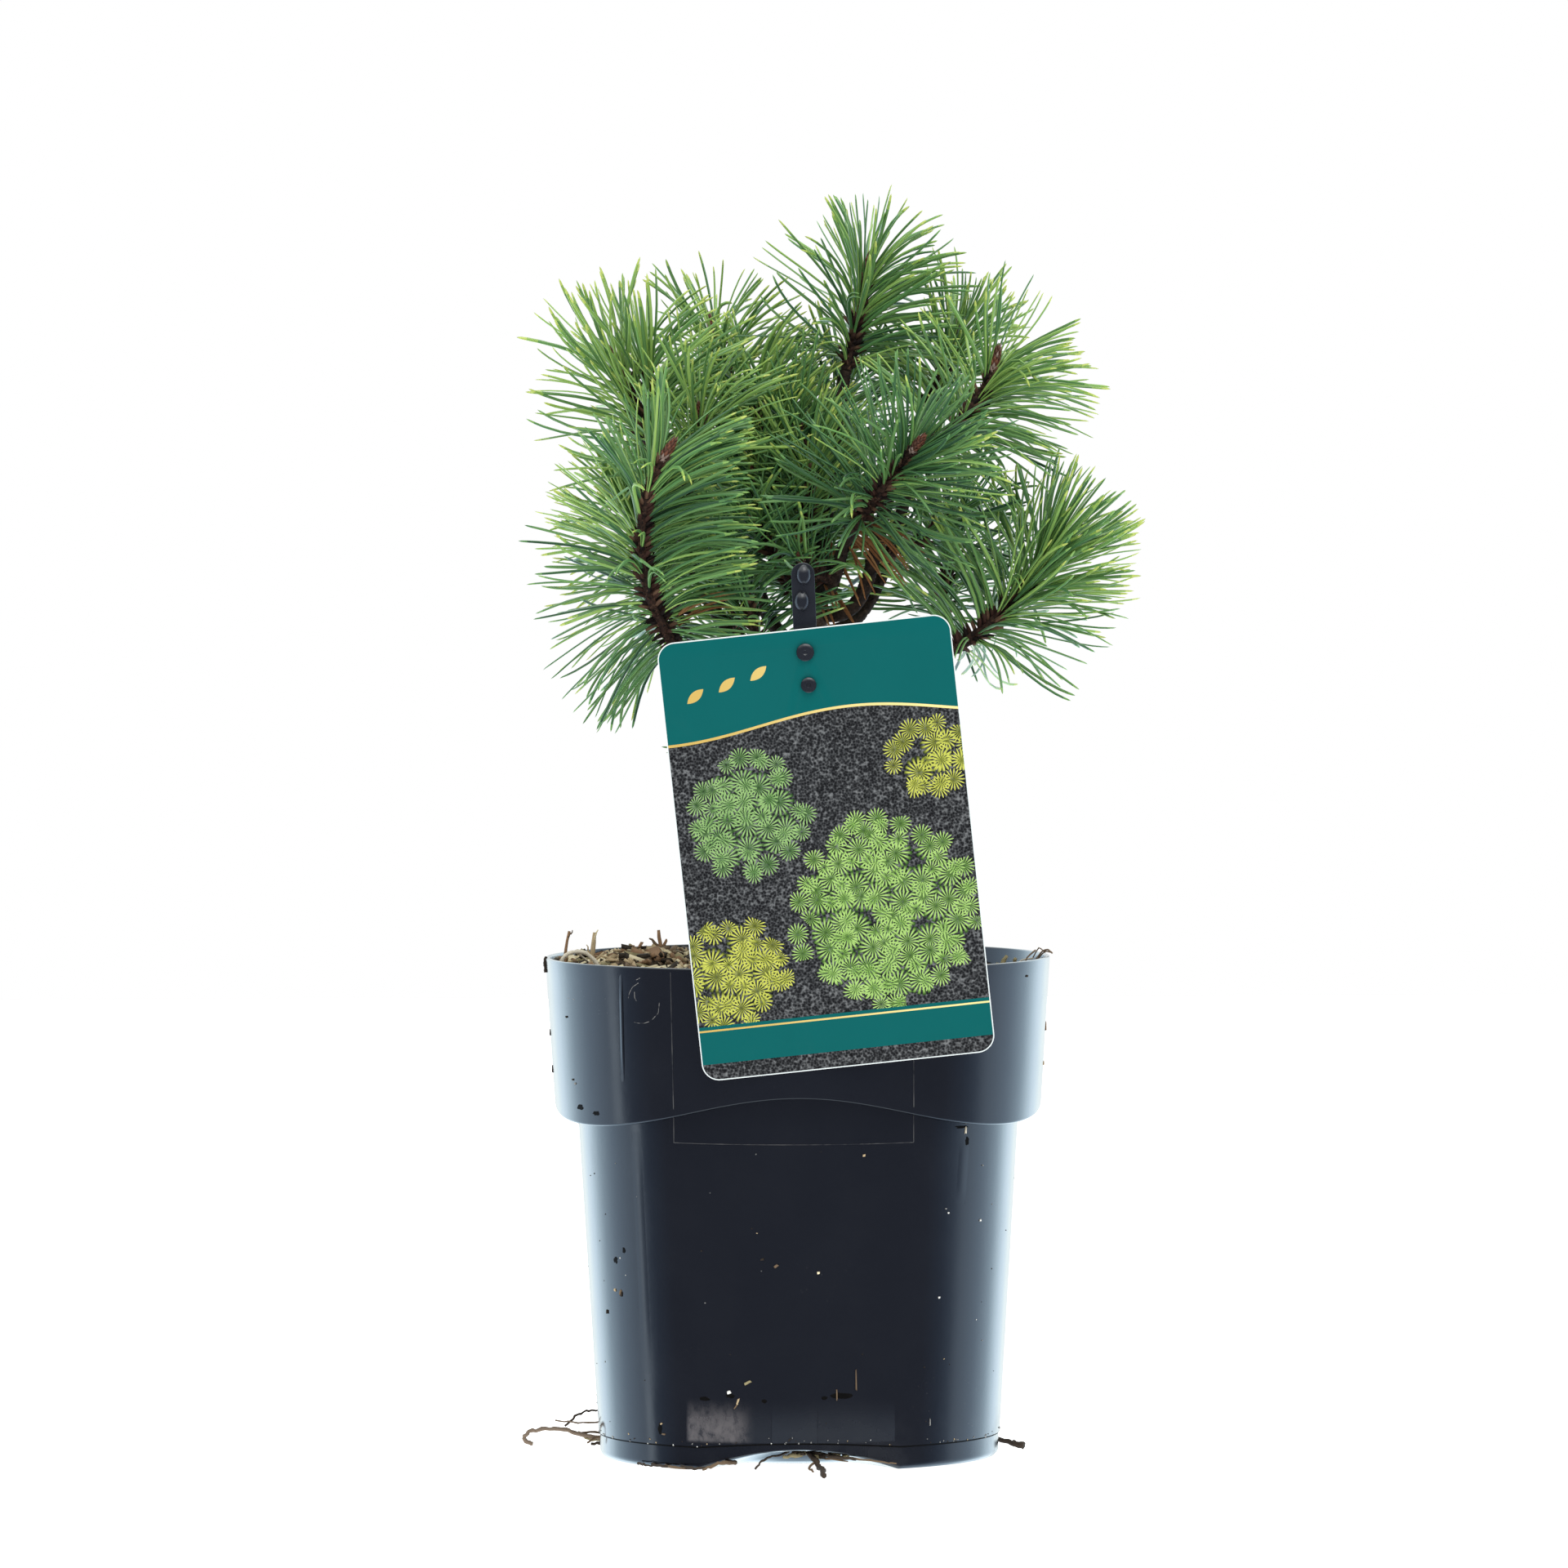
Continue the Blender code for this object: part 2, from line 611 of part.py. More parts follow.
def gaps_between(start, end, thick, thin, rods):
    """The free space between one tapering rod and an array of others, each a row of
    x, y, z at its start and at its end, and its two radii."""
    start = np.array(start)
    way = np.array(end) - start
    other = rods[:, 0:3]
    other_way = rods[:, 3:6] - other
    between = start - other
    a = way @ way
    e = np.einsum("ij,ij->i", other_way, other_way)
    b = other_way @ way
    c = between @ way
    f = np.einsum("ij,ij->i", other_way, between)
    share = np.clip((b * f - c * e) / np.maximum(a * e - b * b, 1e-15), 0.0, 1.0)
    other_share = np.clip((b * share + f) / e, 0.0, 1.0)
    share = np.clip((b * other_share - c) / a, 0.0, 1.0)
    apart = between + share[:, None] * way - other_share[:, None] * other_way
    own = thick + (thin - thick) * share
    theirs = rods[:, 6] + (rods[:, 7] - rods[:, 6]) * other_share
    return np.linalg.norm(apart, axis=1) - own - theirs


def rods_of(points, radii):
    rows = []
    for number in range(len(points) - 1):
        rows.append((*points[number], *points[number + 1], radii[number], radii[number + 1]))
    return rows


def behind_label(start, end):
    """Whether a needle stays out of the label's slab: the card, its stake and their studs."""
    into_plane = label_plane(0.0).inverted()
    card_place = turned_in_plane(CARD_MIDDLE, CARD_TILT).inverted()
    for number in range(9):
        spot = into_plane @ start.lerp(end, number / 8.0)
        on_card = card_place @ Vector((spot.x, 0.0, spot.z))
        over_card = abs(on_card.x) < CARD_WIDTH / 2.0 + LABEL_MARGIN
        over_card = over_card and abs(on_card.z) < CARD_HEIGHT / 2.0 + LABEL_MARGIN
        over_stake = abs(spot.x - STAKE_MIDDLE[0]) < STAKE_WIDTH
        over_stake = over_stake and spot.z < STAKE_TOP + LABEL_MARGIN
        in_front = spot.y < STAKE_BEHIND_RIM + STAKE_THICKNESS + LABEL_MARGIN
        if in_front and (over_card or over_stake):
            return False
    return True


def needle(start, way, length, group):
    """One spike: a three-sided cone from its root along its way."""
    mesh = bpy.data.meshes.new("needle")
    shape = bmesh.new()
    bmesh.ops.create_cone(
        shape,
        cap_ends=True,
        segments=NEEDLE_SIDES,
        radius1=NEEDLE_FOOT_RADIUS,
        radius2=NEEDLE_TIP_RADIUS,
        depth=length,
    )
    turn = way.to_track_quat("Z", "X").to_matrix().to_4x4()
    shape.transform(Matrix.Translation(start + way * (length / 2.0)) @ turn)
    shape.to_mesh(mesh)
    shape.free()
    group.objects.link(bpy.data.objects.new("needle", mesh))


def bud(tip, way, group):
    """The winter bud that ends a stem: a small blunt cone."""
    mesh = bpy.data.meshes.new("bud")
    shape = bmesh.new()
    bmesh.ops.create_cone(
        shape,
        cap_ends=True,
        segments=BUD_SIDES,
        radius1=BUD_RADIUS,
        radius2=BUD_RADIUS * BUD_BLUNT,
        depth=BUD_LENGTH,
    )
    turn = way.to_track_quat("Z", "X").to_matrix().to_4x4()
    shape.transform(Matrix.Translation(tip + way * (BUD_LENGTH / 2.0 - BUD_SINK)) @ turn)
    shape.to_mesh(mesh)
    shape.free()
    group.objects.link(bpy.data.objects.new("bud", mesh))


def shoot_stems(foot, tip, belly, twigs, dice):
    """The shoot's own stem and its side twigs, each as four control points."""
    stems = [stem_controls(foot, tip, belly)]
    for number in range(twigs):
        start, way = bezier(stems[0], TWIG_START)
        side, other = side_frame(way)
        turn = dice.uniform(0.0, 2.0 * math.pi) + number * math.pi
        out = side * math.cos(turn) + other * math.sin(turn)
        aim = way * math.cos(TWIG_SPREAD) + out * math.sin(TWIG_SPREAD)
        reach = (tip - foot).length * TWIG_LENGTH
        end = start + (aim * (1.0 - TWIG_AHEAD) + way * TWIG_AHEAD) * reach
        stems.append(stem_controls(start, end, out * (reach * TWIG_BELLY)))
    return stems


def grow_needles(stems, longest, own_rods, rods, group, dice):
    """Needles in a golden-angle spiral up each stem, wide at its foot and close at its tip.
    One that would touch a limb, another shoot or the label, or hang too low, is turned a few
    times and then skipped."""
    grown = []
    for controls in stems:
        length = (controls[3] - controls[0]).length
        count = int(length / NEEDLE_STEP)
        for number in range(count):
            share = NEEDLE_FIRST + (NEEDLE_LAST - NEEDLE_FIRST) * number / max(count - 1, 1)
            spot, way = bezier(controls, share)
            side, other = side_frame(way)
            for attempt in range(NEEDLE_TRIES):
                turn = number * GOLDEN_ANGLE + attempt * RETRY_TURN
                turn += dice.uniform(-TURN_JITTER, TURN_JITTER)
                spread = SPREAD_FOOT + (SPREAD_TIP - SPREAD_FOOT) * share**SPREAD_POWER
                spread += dice.uniform(-SPREAD_JITTER, SPREAD_JITTER)
                out = side * math.cos(turn) + other * math.sin(turn)
                aim = way * math.cos(spread) + out * math.sin(spread)
                aim = (aim + Vector((0.0, 0.0, NEEDLE_LIFT))).normalized()
                size = longest * MM * dice.uniform(NEEDLE_SHORTEST, 1.0)
                end = spot + aim * size
                if end.z < CROWN_FLOOR or not behind_label(spot, end):
                    continue
                free = gaps_between(spot, end, NEEDLE_FOOT_RADIUS, NEEDLE_TIP_RADIUS, rods)
                if free.min() < CLEAR:
                    continue
                needle(spot, aim, size, group)
                grown.append((*spot, *end, NEEDLE_FOOT_RADIUS, NEEDLE_TIP_RADIUS))
                break
    return grown


def build_crown(group, parent, bark, green):
    """The boughs first, then each shoot clear of every limb and of the shoots before it."""
    dice = random.Random(NEEDLE_SEED)
    trunk_shares = [number / 20.0 for number in range(21)]
    controls = (TRUNK_FOOT, TRUNK_WAIST, TRUNK_BEND, TRUNK_FORK)
    trunk_points = [bezier(controls, share)[0] for share in trunk_shares]
    trunk_rods = rods_of(trunk_points, [trunk_radius(share) for share in trunk_shares])
    limbs = {}
    stems = {}
    for name, height, foot, tip, belly, twigs, _ in SHOOTS:
        foot, tip, belly = (Vector(place_mm) * MM for place_mm in (foot, tip, belly))
        stems[name] = shoot_stems(foot, tip, belly, twigs, dice)
        toward = bezier(stems[name][0], 0.0)[1]
        points, radii = limb_points(
            bough_controls(height * MM, foot, toward),
            BOUGH_STATIONS,
            BOUGH_RADIUS_FOOT,
            BOUGH_RADIUS_TIP,
        )
        limbs[name] = rods_of(points, radii)
        bough = tube("bough_" + name, points, radii, 1)
        shade(bough.data, 60.0)
        place(bough, group, parent, bark)
    cores = {}
    for name in stems:
        cores[name] = []
        for controls in stems[name]:
            points, radii = limb_points(controls, STEM_STATIONS, STEM_RADIUS_FOOT, STEM_RADIUS_TIP)
            way = bezier(controls, 1.0)[1]
            end = controls[3] + way * (BUD_LENGTH - BUD_SINK)
            cores[name] += rods_of(points + [end], radii + [BUD_RADIUS])
    needles = {}
    for name, _, _, _, _, _, longest in SHOOTS:
        others = list(trunk_rods)
        for other in stems:
            others += limbs[other]
            if other != name:
                others += cores[other]
        for done in needles.values():
            others += done
        extras = new_collection("shoot parts")
        core = None
        for controls in stems[name]:
            points, radii = limb_points(controls, STEM_STATIONS, STEM_RADIUS_FOOT, STEM_RADIUS_TIP)
            stem = tube("stem", points, radii, 1)
            if core is None:
                core = stem
            else:
                place(stem, extras)
            end, way = bezier(controls, 1.0)
            bud(end, way, extras)
        needles[name] = grow_needles(stems[name], longest, cores[name], np.array(others), extras, dice)
        shoot = union(core, extras, "MANIFOLD", "shoot_" + name)
        shade(shoot.data, 50.0)
        place(shoot, group, parent, green)


def main():
    remove_start_objects()
    plant = new_collection("potted_dwarf_pine")
    cutters = new_collection("cutters")
    parent = bpy.data.objects.new("potted_dwarf_pine", None)
    plant.objects.link(parent)
    bark = material("pine_bark", (0.050, 0.026, 0.018), 0.9)
    green = material("pine_needles", (0.065, 0.165, 0.045), 0.5)
    build_pot(plant, cutters, parent)
    build_soil(plant, cutters, parent)
    build_label_stake(plant, parent)
    build_label_card(plant, parent)
    build_trunk(plant, parent, bark)
    build_crown(plant, parent, bark, green)


main()
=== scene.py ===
# %% [markdown]
# # A potted dwarf pine, dressed
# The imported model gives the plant's solids as a fixed frame: the pot, the soil, the limbs, the
# leafy shoots and the label. This lesson builds the finished look around them, piece by piece.
# The frame is loaded first, because every piece here is placed in its metres: +Z is up, the
# front faces -Y and the origin is the middle of the pot's underside.

# %% Load the frame
import random
from collections import namedtuple
from math import asin, atan2, cos, degrees, hypot, pi, radians, sin, sqrt, tan, tau

import bmesh
import bpy
import numpy as np
from mathutils import Matrix, Vector, noise


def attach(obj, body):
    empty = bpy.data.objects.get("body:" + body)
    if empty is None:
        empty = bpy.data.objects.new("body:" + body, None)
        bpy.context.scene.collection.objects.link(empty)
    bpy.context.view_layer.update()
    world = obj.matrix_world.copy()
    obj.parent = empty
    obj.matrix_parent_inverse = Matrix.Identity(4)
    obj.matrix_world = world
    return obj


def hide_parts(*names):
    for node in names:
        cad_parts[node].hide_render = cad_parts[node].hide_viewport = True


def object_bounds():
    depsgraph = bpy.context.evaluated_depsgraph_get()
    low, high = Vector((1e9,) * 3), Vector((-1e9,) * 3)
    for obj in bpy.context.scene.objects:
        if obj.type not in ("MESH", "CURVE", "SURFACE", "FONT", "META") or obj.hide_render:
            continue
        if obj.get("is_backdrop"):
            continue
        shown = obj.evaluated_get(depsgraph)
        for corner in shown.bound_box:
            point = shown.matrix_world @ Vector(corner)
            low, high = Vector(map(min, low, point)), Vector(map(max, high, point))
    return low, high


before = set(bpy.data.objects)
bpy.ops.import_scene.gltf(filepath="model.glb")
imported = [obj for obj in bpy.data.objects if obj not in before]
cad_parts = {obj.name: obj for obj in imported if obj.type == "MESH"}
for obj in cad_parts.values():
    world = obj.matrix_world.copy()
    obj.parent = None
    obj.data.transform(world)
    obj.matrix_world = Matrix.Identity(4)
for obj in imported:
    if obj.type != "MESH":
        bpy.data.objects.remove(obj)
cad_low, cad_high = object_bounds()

MM = 0.001
UP = Vector((0.0, 0.0, 1.0))
NOISE_SEED = 20
noise.seed_set(NOISE_SEED)


def in_mm(*places):
    """Places given in millimetres, as vectors in metres."""
    return [Vector(place) * MM for place in places]


def add_thing(name, data):
    """An object in the scene, for a mesh, a curve, a lamp or a camera."""
    thing = bpy.data.objects.new(name, data)
    bpy.context.scene.collection.objects.link(thing)
    return thing


print("frame: %d solids, noise seed %d" % (len(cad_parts), NOISE_SEED))

# %% [markdown]
# ## The camera
# The plant was photographed from far away with a long lens, nearly level and turned by a hair.
# A long lens keeps the pot's sides nearly parallel. The camera looks along +Y, pitched down a
# little, at a point half way up the plant.

# %% Camera
CAMERA_AIM = Vector((-4.9, 0.0, 252.8)) * MM
CAMERA_DISTANCE = 4.92
CAMERA_PITCH = radians(2.35)
CAMERA_ROLL = radians(-0.2)
CAMERA_LENS = 300.0


def aim_camera():
    lens = bpy.data.cameras.new("camera")
    lens.lens = CAMERA_LENS
    lens.sensor_width = 36.0
    lens.clip_end = 50.0
    eye = add_thing("camera", lens)
    forward = Vector((0.0, cos(CAMERA_PITCH), -sin(CAMERA_PITCH)))
    tilt = Matrix.Rotation(pi / 2.0 - CAMERA_PITCH, 4, "X")
    place = Matrix.Translation(CAMERA_AIM - forward * CAMERA_DISTANCE)
    eye.matrix_world = place @ tilt @ Matrix.Rotation(CAMERA_ROLL, 4, "Z")
    bpy.context.scene.camera = eye
    return eye


camera = aim_camera()
print("camera at", tuple(round(x, 3) for x in camera.matrix_world.translation))

# %% [markdown]
# ## Sums on sockets
# A finish is a net of nodes, and most of them only add, multiply or compare numbers. A small
# class that wraps an output socket lets Python's own signs make those, so that a mask reads
# like a formula. Any other node comes from one method, which takes the node's type, then its
# settings, then what its sockets get.

# %% The wire: an output socket that Python can calculate with
class Wire:
    """One output socket. Sums with numbers or other wires add Math nodes behind it."""

    def __init__(self, socket):
        self.socket = socket

    def outputs(self):
        """All the outputs of its node."""
        return self.socket.node.outputs

    def math(self, operation, first, second):
        sum_node = self.socket.id_data.nodes.new("ShaderNodeMath")
        sum_node.operation = operation
        plug(sum_node.inputs[0], first)
        plug(sum_node.inputs[1], second)
        return Wire(sum_node.outputs[0])

    def __add__(self, other):
        return self.math("ADD", self, other)

    __radd__ = __add__

    def __mul__(self, other):
        return self.math("MULTIPLY", self, other)

    __rmul__ = __mul__

    def __sub__(self, other):
        return self.math("SUBTRACT", self, other)

    def __rsub__(self, other):
        return self.math("SUBTRACT", other, self)

    def __gt__(self, other):
        return self.math("GREATER_THAN", self, other)

    def __lt__(self, other):
        return self.math("LESS_THAN", self, other)


def plug(socket, value):
    """Links a wire to a socket, or sets a plain value on it."""
    if isinstance(value, Wire):
        socket.id_data.links.new(value.socket, socket)
    elif isinstance(value, (tuple, list)) and len(value) == 3 and socket.type == "RGBA":
        socket.default_value = (*value, 1.0)
    else:
        socket.default_value = value


print("a wire can add, subtract, multiply and compare")


# %% The board: a tree of nodes, and the finish: a board with a shader
class Board:
    """A tree of nodes, for a finish or for the world."""

    def __init__(self, tree):
        self.tree = tree

    def node(self, kind, settings=None, sockets=None, out=0):
        """Adds a node: its settings first, a ramp's stops among them, then its sockets."""
        made = self.tree.nodes.new("ShaderNode" + kind)
        for name, value in (settings or {}).items():
            if name == "stops":
                ramp = made.color_ramp
                while len(ramp.elements) < len(value):
                    ramp.elements.new(0.5)
                for stop, (place, colour) in zip(ramp.elements, value):
                    stop.position = place
                    stop.color = (*colour, 1.0)
            else:
                setattr(made, name, value)
        for name, value in (sockets or {}).items():
            plug(made.inputs[name], value)
        return Wire(made.outputs[out])

    def mix(self, mask, below, above):
        """The colour below, covered by the colour above where the mask says so."""
        settings = {"data_type": "RGBA", "clamp_factor": True}
        return self.node("Mix", settings, {0: mask, 6: below, 7: above}, 2)

    def ramp(self, value, stops):
        """The colour at a value, from stops of a place and a colour each."""
        return self.node("ValToRGB", {"stops": stops}, {"Fac": value})

    def vector(self, operation, first, second=(0.0, 0.0, 0.0), out=0):
        settings = {"operation": operation}
        return self.node("VectorMath", settings, {0: first, 1: second}, out)

    def between(self, value, low, high):
        """0 below low, 1 above high, and a soft step between them."""
        settings = {"interpolation_type": "SMOOTHSTEP"}
        sockets = {"Value": value, "From Min": low, "From Max": high}
        return self.node("MapRange", settings, sockets)

    def window(self, value, rise, fall):
        """1 between two soft steps: up over the first pair of values, down over the second."""
        return self.between(value, *rise) * (1.0 - self.between(value, *fall))

    def parts(self, vector):
        """The x, y and z of a vector, as three wires."""
        return [Wire(socket) for socket in self.node("SeparateXYZ", None, {0: vector}).outputs()]


class Finish(Board):
    """A material with one Principled shader. Plain values go straight on the shader."""

    def __init__(self, name, **plain):
        self.material = bpy.data.materials.new(name)
        self.material.use_nodes = True
        super().__init__(self.material.node_tree)
        self.shader = self.tree.nodes["Principled BSDF"]
        self.spot = self.node("TexCoord", out=3)
        self.set(**plain)

    def set(self, **values):
        """Sets or links the shader's sockets: base_color means Base Color, and so on."""
        for name, value in values.items():
            label = name.replace("_", " ").title().replace("Ior", "IOR")
            plug(self.shader.inputs[label], value)

    def grain(self, scale, detail=3.0, roughness=0.55, distortion=0.0, where=None):
        """Soft noise from 0 to 1; the scale is in lumps to a metre."""
        sockets = {"Scale": scale, "Detail": detail, "Roughness": roughness, "Distortion": distortion}
        return self.node("TexNoise", None, {"Vector": where or self.spot, **sockets})

    def cells(self, scale, where=None):
        """The distance to the nearest of many spots scattered through space."""
        return self.node("TexVoronoi", None, {"Vector": where or self.spot, "Scale": scale})

    def relief(self, height, distance, strength=1.0):
        """Bumps, as high as the distance where the height is 1."""
        sockets = {"Height": height, "Distance": distance, "Strength": strength}
        self.set(normal=self.node("Bump", None, sockets))


def two_tone(name, scale, detail, dark, light, rough, rougher, step=None, specular=0.5):
    """A finish between two colours, as noise deals them, and rougher where it is lighter."""
    finish = Finish(name, specular_ior_level=specular)
    tone = finish.grain(scale, detail)
    if step:
        tone = finish.between(tone, *step)
    finish.set(base_color=finish.mix(tone, dark, light), roughness=rough + tone * rougher)
    return finish


print("boards and finishes are ready")

# %% [markdown]
# ## The studio
# The plant stands in a white light tent: a bright wall behind, soft light from above and a
# darker room in front. The wall draws the pale edges on the glossy black pot, and the dark
# room keeps its middle black. The world can do this alone: the camera sees plain white, dull
# things get soft light from all round, and mirrors see the room and the wall. One large lamp
# above gives the needles their lit and shaded sides.

# %% The light tent
TENT_WALL = (  # how far back a glossy ray points, 0 in front and 1 behind, and what it meets
    (0.36, (0.135, 0.155, 0.220)),
    (0.46, (0.21, 0.30, 0.46)),
    (0.52, (0.40, 0.56, 0.80)),
    (0.585, (0.92, 1.20, 1.55)),
    (0.72, (1.16, 1.56, 2.00)),
    (0.82, (1.65, 2.20, 2.65)),
    (0.87, (2.25, 2.90, 3.35)),
    (0.91, (2.45, 3.05, 3.50)),
    (0.94, (2.25, 2.70, 3.00)),
    (0.97, (1.95, 2.20, 2.25)),
    (1.0, (1.02, 1.08, 1.10)),
)


def light_tent():
    """The world: white to the camera, soft light to dull things and a tent to glossy ones."""
    world = bpy.data.worlds.new("light_tent")
    world.use_nodes = True
    bpy.context.scene.world = world
    world.node_tree.nodes.clear()
    board = Board(world.node_tree)
    rays = board.node("LightPath").outputs()
    is_camera, is_glossy = Wire(rays["Is Camera Ray"]), Wire(rays["Is Glossy Ray"])
    across, back, height = board.parts(board.node("TexCoord", out=0))
    wall = board.ramp(back * 0.5 + 0.5, TENT_WALL)
    gap_at_left = board.window(back, (0.02, 0.055), (0.11, 0.17)) * (across < 0.0)
    wall = board.mix(gap_at_left * 0.75, wall, (1.95, 2.35, 2.75))
    below = 1.0 - board.between(height, -0.99, -0.86)
    wall = board.mix(below, wall, (1.35, 1.60, 1.75))
    mirrored = board.mix(board.between(height, 0.25, 0.7), wall, (1.75, 1.85, 1.85))
    soft = board.mix(board.between(height, -0.3, 0.6), (0.74, 0.78, 0.80), (0.98, 1.0, 1.0))
    light = board.mix(is_glossy, soft, mirrored)
    shown = board.mix(is_camera, light, (1.0, 1.0, 1.0))
    sky = board.node("Background", None, {"Color": shown, "Strength": 1.0})
    plug(world.node_tree.nodes.new("ShaderNodeOutputWorld").inputs["Surface"], sky)
    bpy.context.scene.view_settings.view_transform = "Standard"


LAMP_SIZE = 1.4
LAMP_POWER = 17.0
LAMP_PLACE = Vector((0.3, -0.9, 1.9))
LAMP_TARGET = Vector((0.0, 0.0, 0.3))


def lamp_above():
    lamp = bpy.data.lights.new("lamp_above", "AREA")
    lamp.size = LAMP_SIZE
    lamp.energy = LAMP_POWER
    thing = add_thing("lamp_above", lamp)
    thing.location = LAMP_PLACE
    thing.rotation_euler = (LAMP_TARGET - LAMP_PLACE).to_track_quat("-Z", "Y").to_euler()


light_tent()
lamp_above()
print("light tent is up")

# %% [markdown]
# ## The floor
# A sheet of white card under the pot. In a tent it is as bright as the wall, so a little glow
# of its own lifts it to that white, and only a faint shadow shows where the pot meets it. It
# is marked as stage, because it isn't part of the plant.

# %% Floor
def lay_floor():
    shape = bmesh.new()
    bmesh.ops.create_grid(shape, x_segments=1, y_segments=1, size=3.0)
    mesh = bpy.data.meshes.new("floor")
    shape.to_mesh(mesh)
    shape.free()
    floor = add_thing("floor", mesh)
    floor.location.z = -0.2 * MM
    card = Finish("white_card", roughness=0.9, specular_ior_level=0.1)
    card.set(base_color=card.mix(card.grain(40.0), (0.80, 0.80, 0.80), (0.83, 0.83, 0.83)))
    card.set(emission_color=(1.0, 1.0, 1.0), emission_strength=1.0)
    mesh.materials.append(card.material)
    floor.visible_glossy = False
    floor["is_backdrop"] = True


lay_floor()
print("floor is down")

# %% [markdown]
# ## One way to make every piece
# The plant has thousands of needles, scales and chips. As separate objects they would be slow,
# so each kind is heaped into one mesh. A heap keeps points, faces and the finish of each face,
# and becomes a piece that rides on the frame's only body.

# %% Heaps and pieces
class Heap:
    """Points and faces of many small shapes, on their way to one mesh."""

    def __init__(self):
        self.points = []
        self.faces = []
        self.finishes = []
        self.count = 0

    def add(self, points, faces, finish=0):
        """Adds a shape. Its faces count its own points from 0; finish is one number or a list."""
        points = np.asarray(points, float).reshape(-1, 3)
        self.points.append(points)
        for face in faces:
            self.faces.append([corner + self.count for corner in face])
        if isinstance(finish, int):
            finish = [finish] * len(faces)
        self.finishes.extend(finish)
        self.count += len(points)


def tube_faces(rings, sides):
    """Quads between rings of points that follow each other, and the two end faces."""
    faces = []
    for low in range(0, (rings - 1) * sides, sides):
        for corner in range(sides):
            after = (corner + 1) % sides
            faces.append([low + corner, low + after, low + sides + after, low + sides + corner])
    last = (rings - 1) * sides
    return faces + [list(range(sides))[::-1], list(range(last, last + sides))]


def make_piece(name, heap, finishes, replaced=(), sharp=None, place=None):
    """Turns a heap into a piece of the plant, hides the solids it replaces and prints its name and triangles.
    """
    mesh = bpy.data.meshes.new(name)
    mesh.from_pydata(np.concatenate(heap.points).tolist(), [], heap.faces)
    used = sorted(set(heap.finishes))
    for number in used:
        mesh.materials.append(finishes[number].material)
    mesh.polygons.foreach_set("material_index", np.searchsorted(used, heap.finishes).astype(np.int32))
    mesh.shade_smooth()
    if sharp is not None:
        mesh.set_sharp_from_angle(angle=radians(sharp))
    mesh.update()
    piece = add_thing(name, mesh)
    if place:
        piece.matrix_world = place
    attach(piece, "root")
    if replaced:
        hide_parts(*replaced)
    print("%s: %d triangles" % (name, sum(len(face) - 2 for face in heap.faces)))
    return piece


print("heaps and pieces are ready")

# %% [markdown]
# ## The pot's shape
# A thin-walled nursery pot, blown in one piece: a deep collar over a drafted body, the collar's
# lower edge in three waves, a narrow foot with three arches, and a vaulted floor with a drain
# hole over each arch. It is turned: rows of points run round the axis, each with a radius and
# a height, and a rule bends some rows by the angle. The same rule made the solid, so the fine
# mesh lies on it, with more steps and with true rounds at its edges.

# %% The pot's sizes
RIM_RADIUS = 95.0 * MM
POT_HEIGHT = 188.0 * MM
DRAFT = radians(3.5)
WALL = 1.8 * MM
RIM_ROUND = 0.6 * MM
COLLAR_FOOT = 133.1 * MM
COLLAR_WAVE = 6.2 * MM
COLLAR_RIPPLE = 0.5 * MM
COLLAR_ROUND = 0.9 * MM
COLLAR_REACH = 5.0 * MM
FOOT_RADIUS = 75.6 * MM
FOOT_SEAM = 8.5 * MM
SEAM_LIFT = 0.26
SEAM_STEP = 0.35 * MM
FOOT_INSET = 0.5 * MM
FOOT_ROUND = 2.4 * MM
FLOOR_THICKNESS = 2.2 * MM
ARCH_COUNT = 3
ARCH_HEIGHT = 7.7 * MM
ARCH_FOOT_ANGLE = radians(30.0)
VAULT_START = 40.0 * MM
VAULT_FULL = 54.0 * MM
DRAIN_RADIUS = 4.5 * MM
DRAIN_PLACE = 62.0 * MM
POT_COLUMNS = 288
FRONT = -pi / 2.0


def blend(first, second, share):
    return first + (second - first) * share


def smooth_step(low, high, value):
    share = np.clip((value - low) / (high - low), 0.0, 1.0)
    return share * share * (3.0 - 2.0 * share)


def collar_wave(angle):
    """The collar's lower edge rises over each arch of the foot."""
    turn = ARCH_COUNT * (angle - FRONT)
    return COLLAR_WAVE * np.cos(turn) + COLLAR_RIPPLE * np.cos(2.0 * turn)


def arch_lift(angle, radius):
    """How far the underside is raised, by the angle to the nearest arch and by the radius."""
    turn = tau / ARCH_COUNT
    off = (angle - FRONT + turn / 2.0) % turn - turn / 2.0
    side = np.cos(np.minimum(np.abs(off) / ARCH_FOOT_ANGLE, 1.0) * pi / 2.0)
    return ARCH_HEIGHT * side * smooth_step(VAULT_START, VAULT_FULL, radius)


def collar_radius(height):
    return RIM_RADIUS - (POT_HEIGHT - height) * tan(DRAFT)


def body_radius(height):
    return FOOT_RADIUS + (height - FOOT_SEAM) * tan(DRAFT)


def turned_rows(profile, columns, inner_floor):
    """Rows of points round the axis from (radius, height) pairs, bent as the pot is."""
    angles = np.arange(columns) * tau / columns
    rows = []
    for radius, height in profile:
        radii = np.full(columns, radius)
        heights = np.full(columns, height)
        if abs(height - COLLAR_FOOT) < COLLAR_REACH:
            rise = collar_wave(angles)
            radii = radii + rise * tan(DRAFT)
            heights = heights + rise
        elif height <= FOOT_SEAM + 0.25 * MM and radius > VAULT_START:
            low = abs(height - inner_floor) < 0.01 * MM
            share = 1.0 if low else 1.0 - (1.0 - SEAM_LIFT) * min(height / FOOT_SEAM, 1.0)
            heights = heights + arch_lift(angles, radius) * share
        rows.append(np.stack([radii * np.cos(angles), radii * np.sin(angles), heights], 1))
    return rows


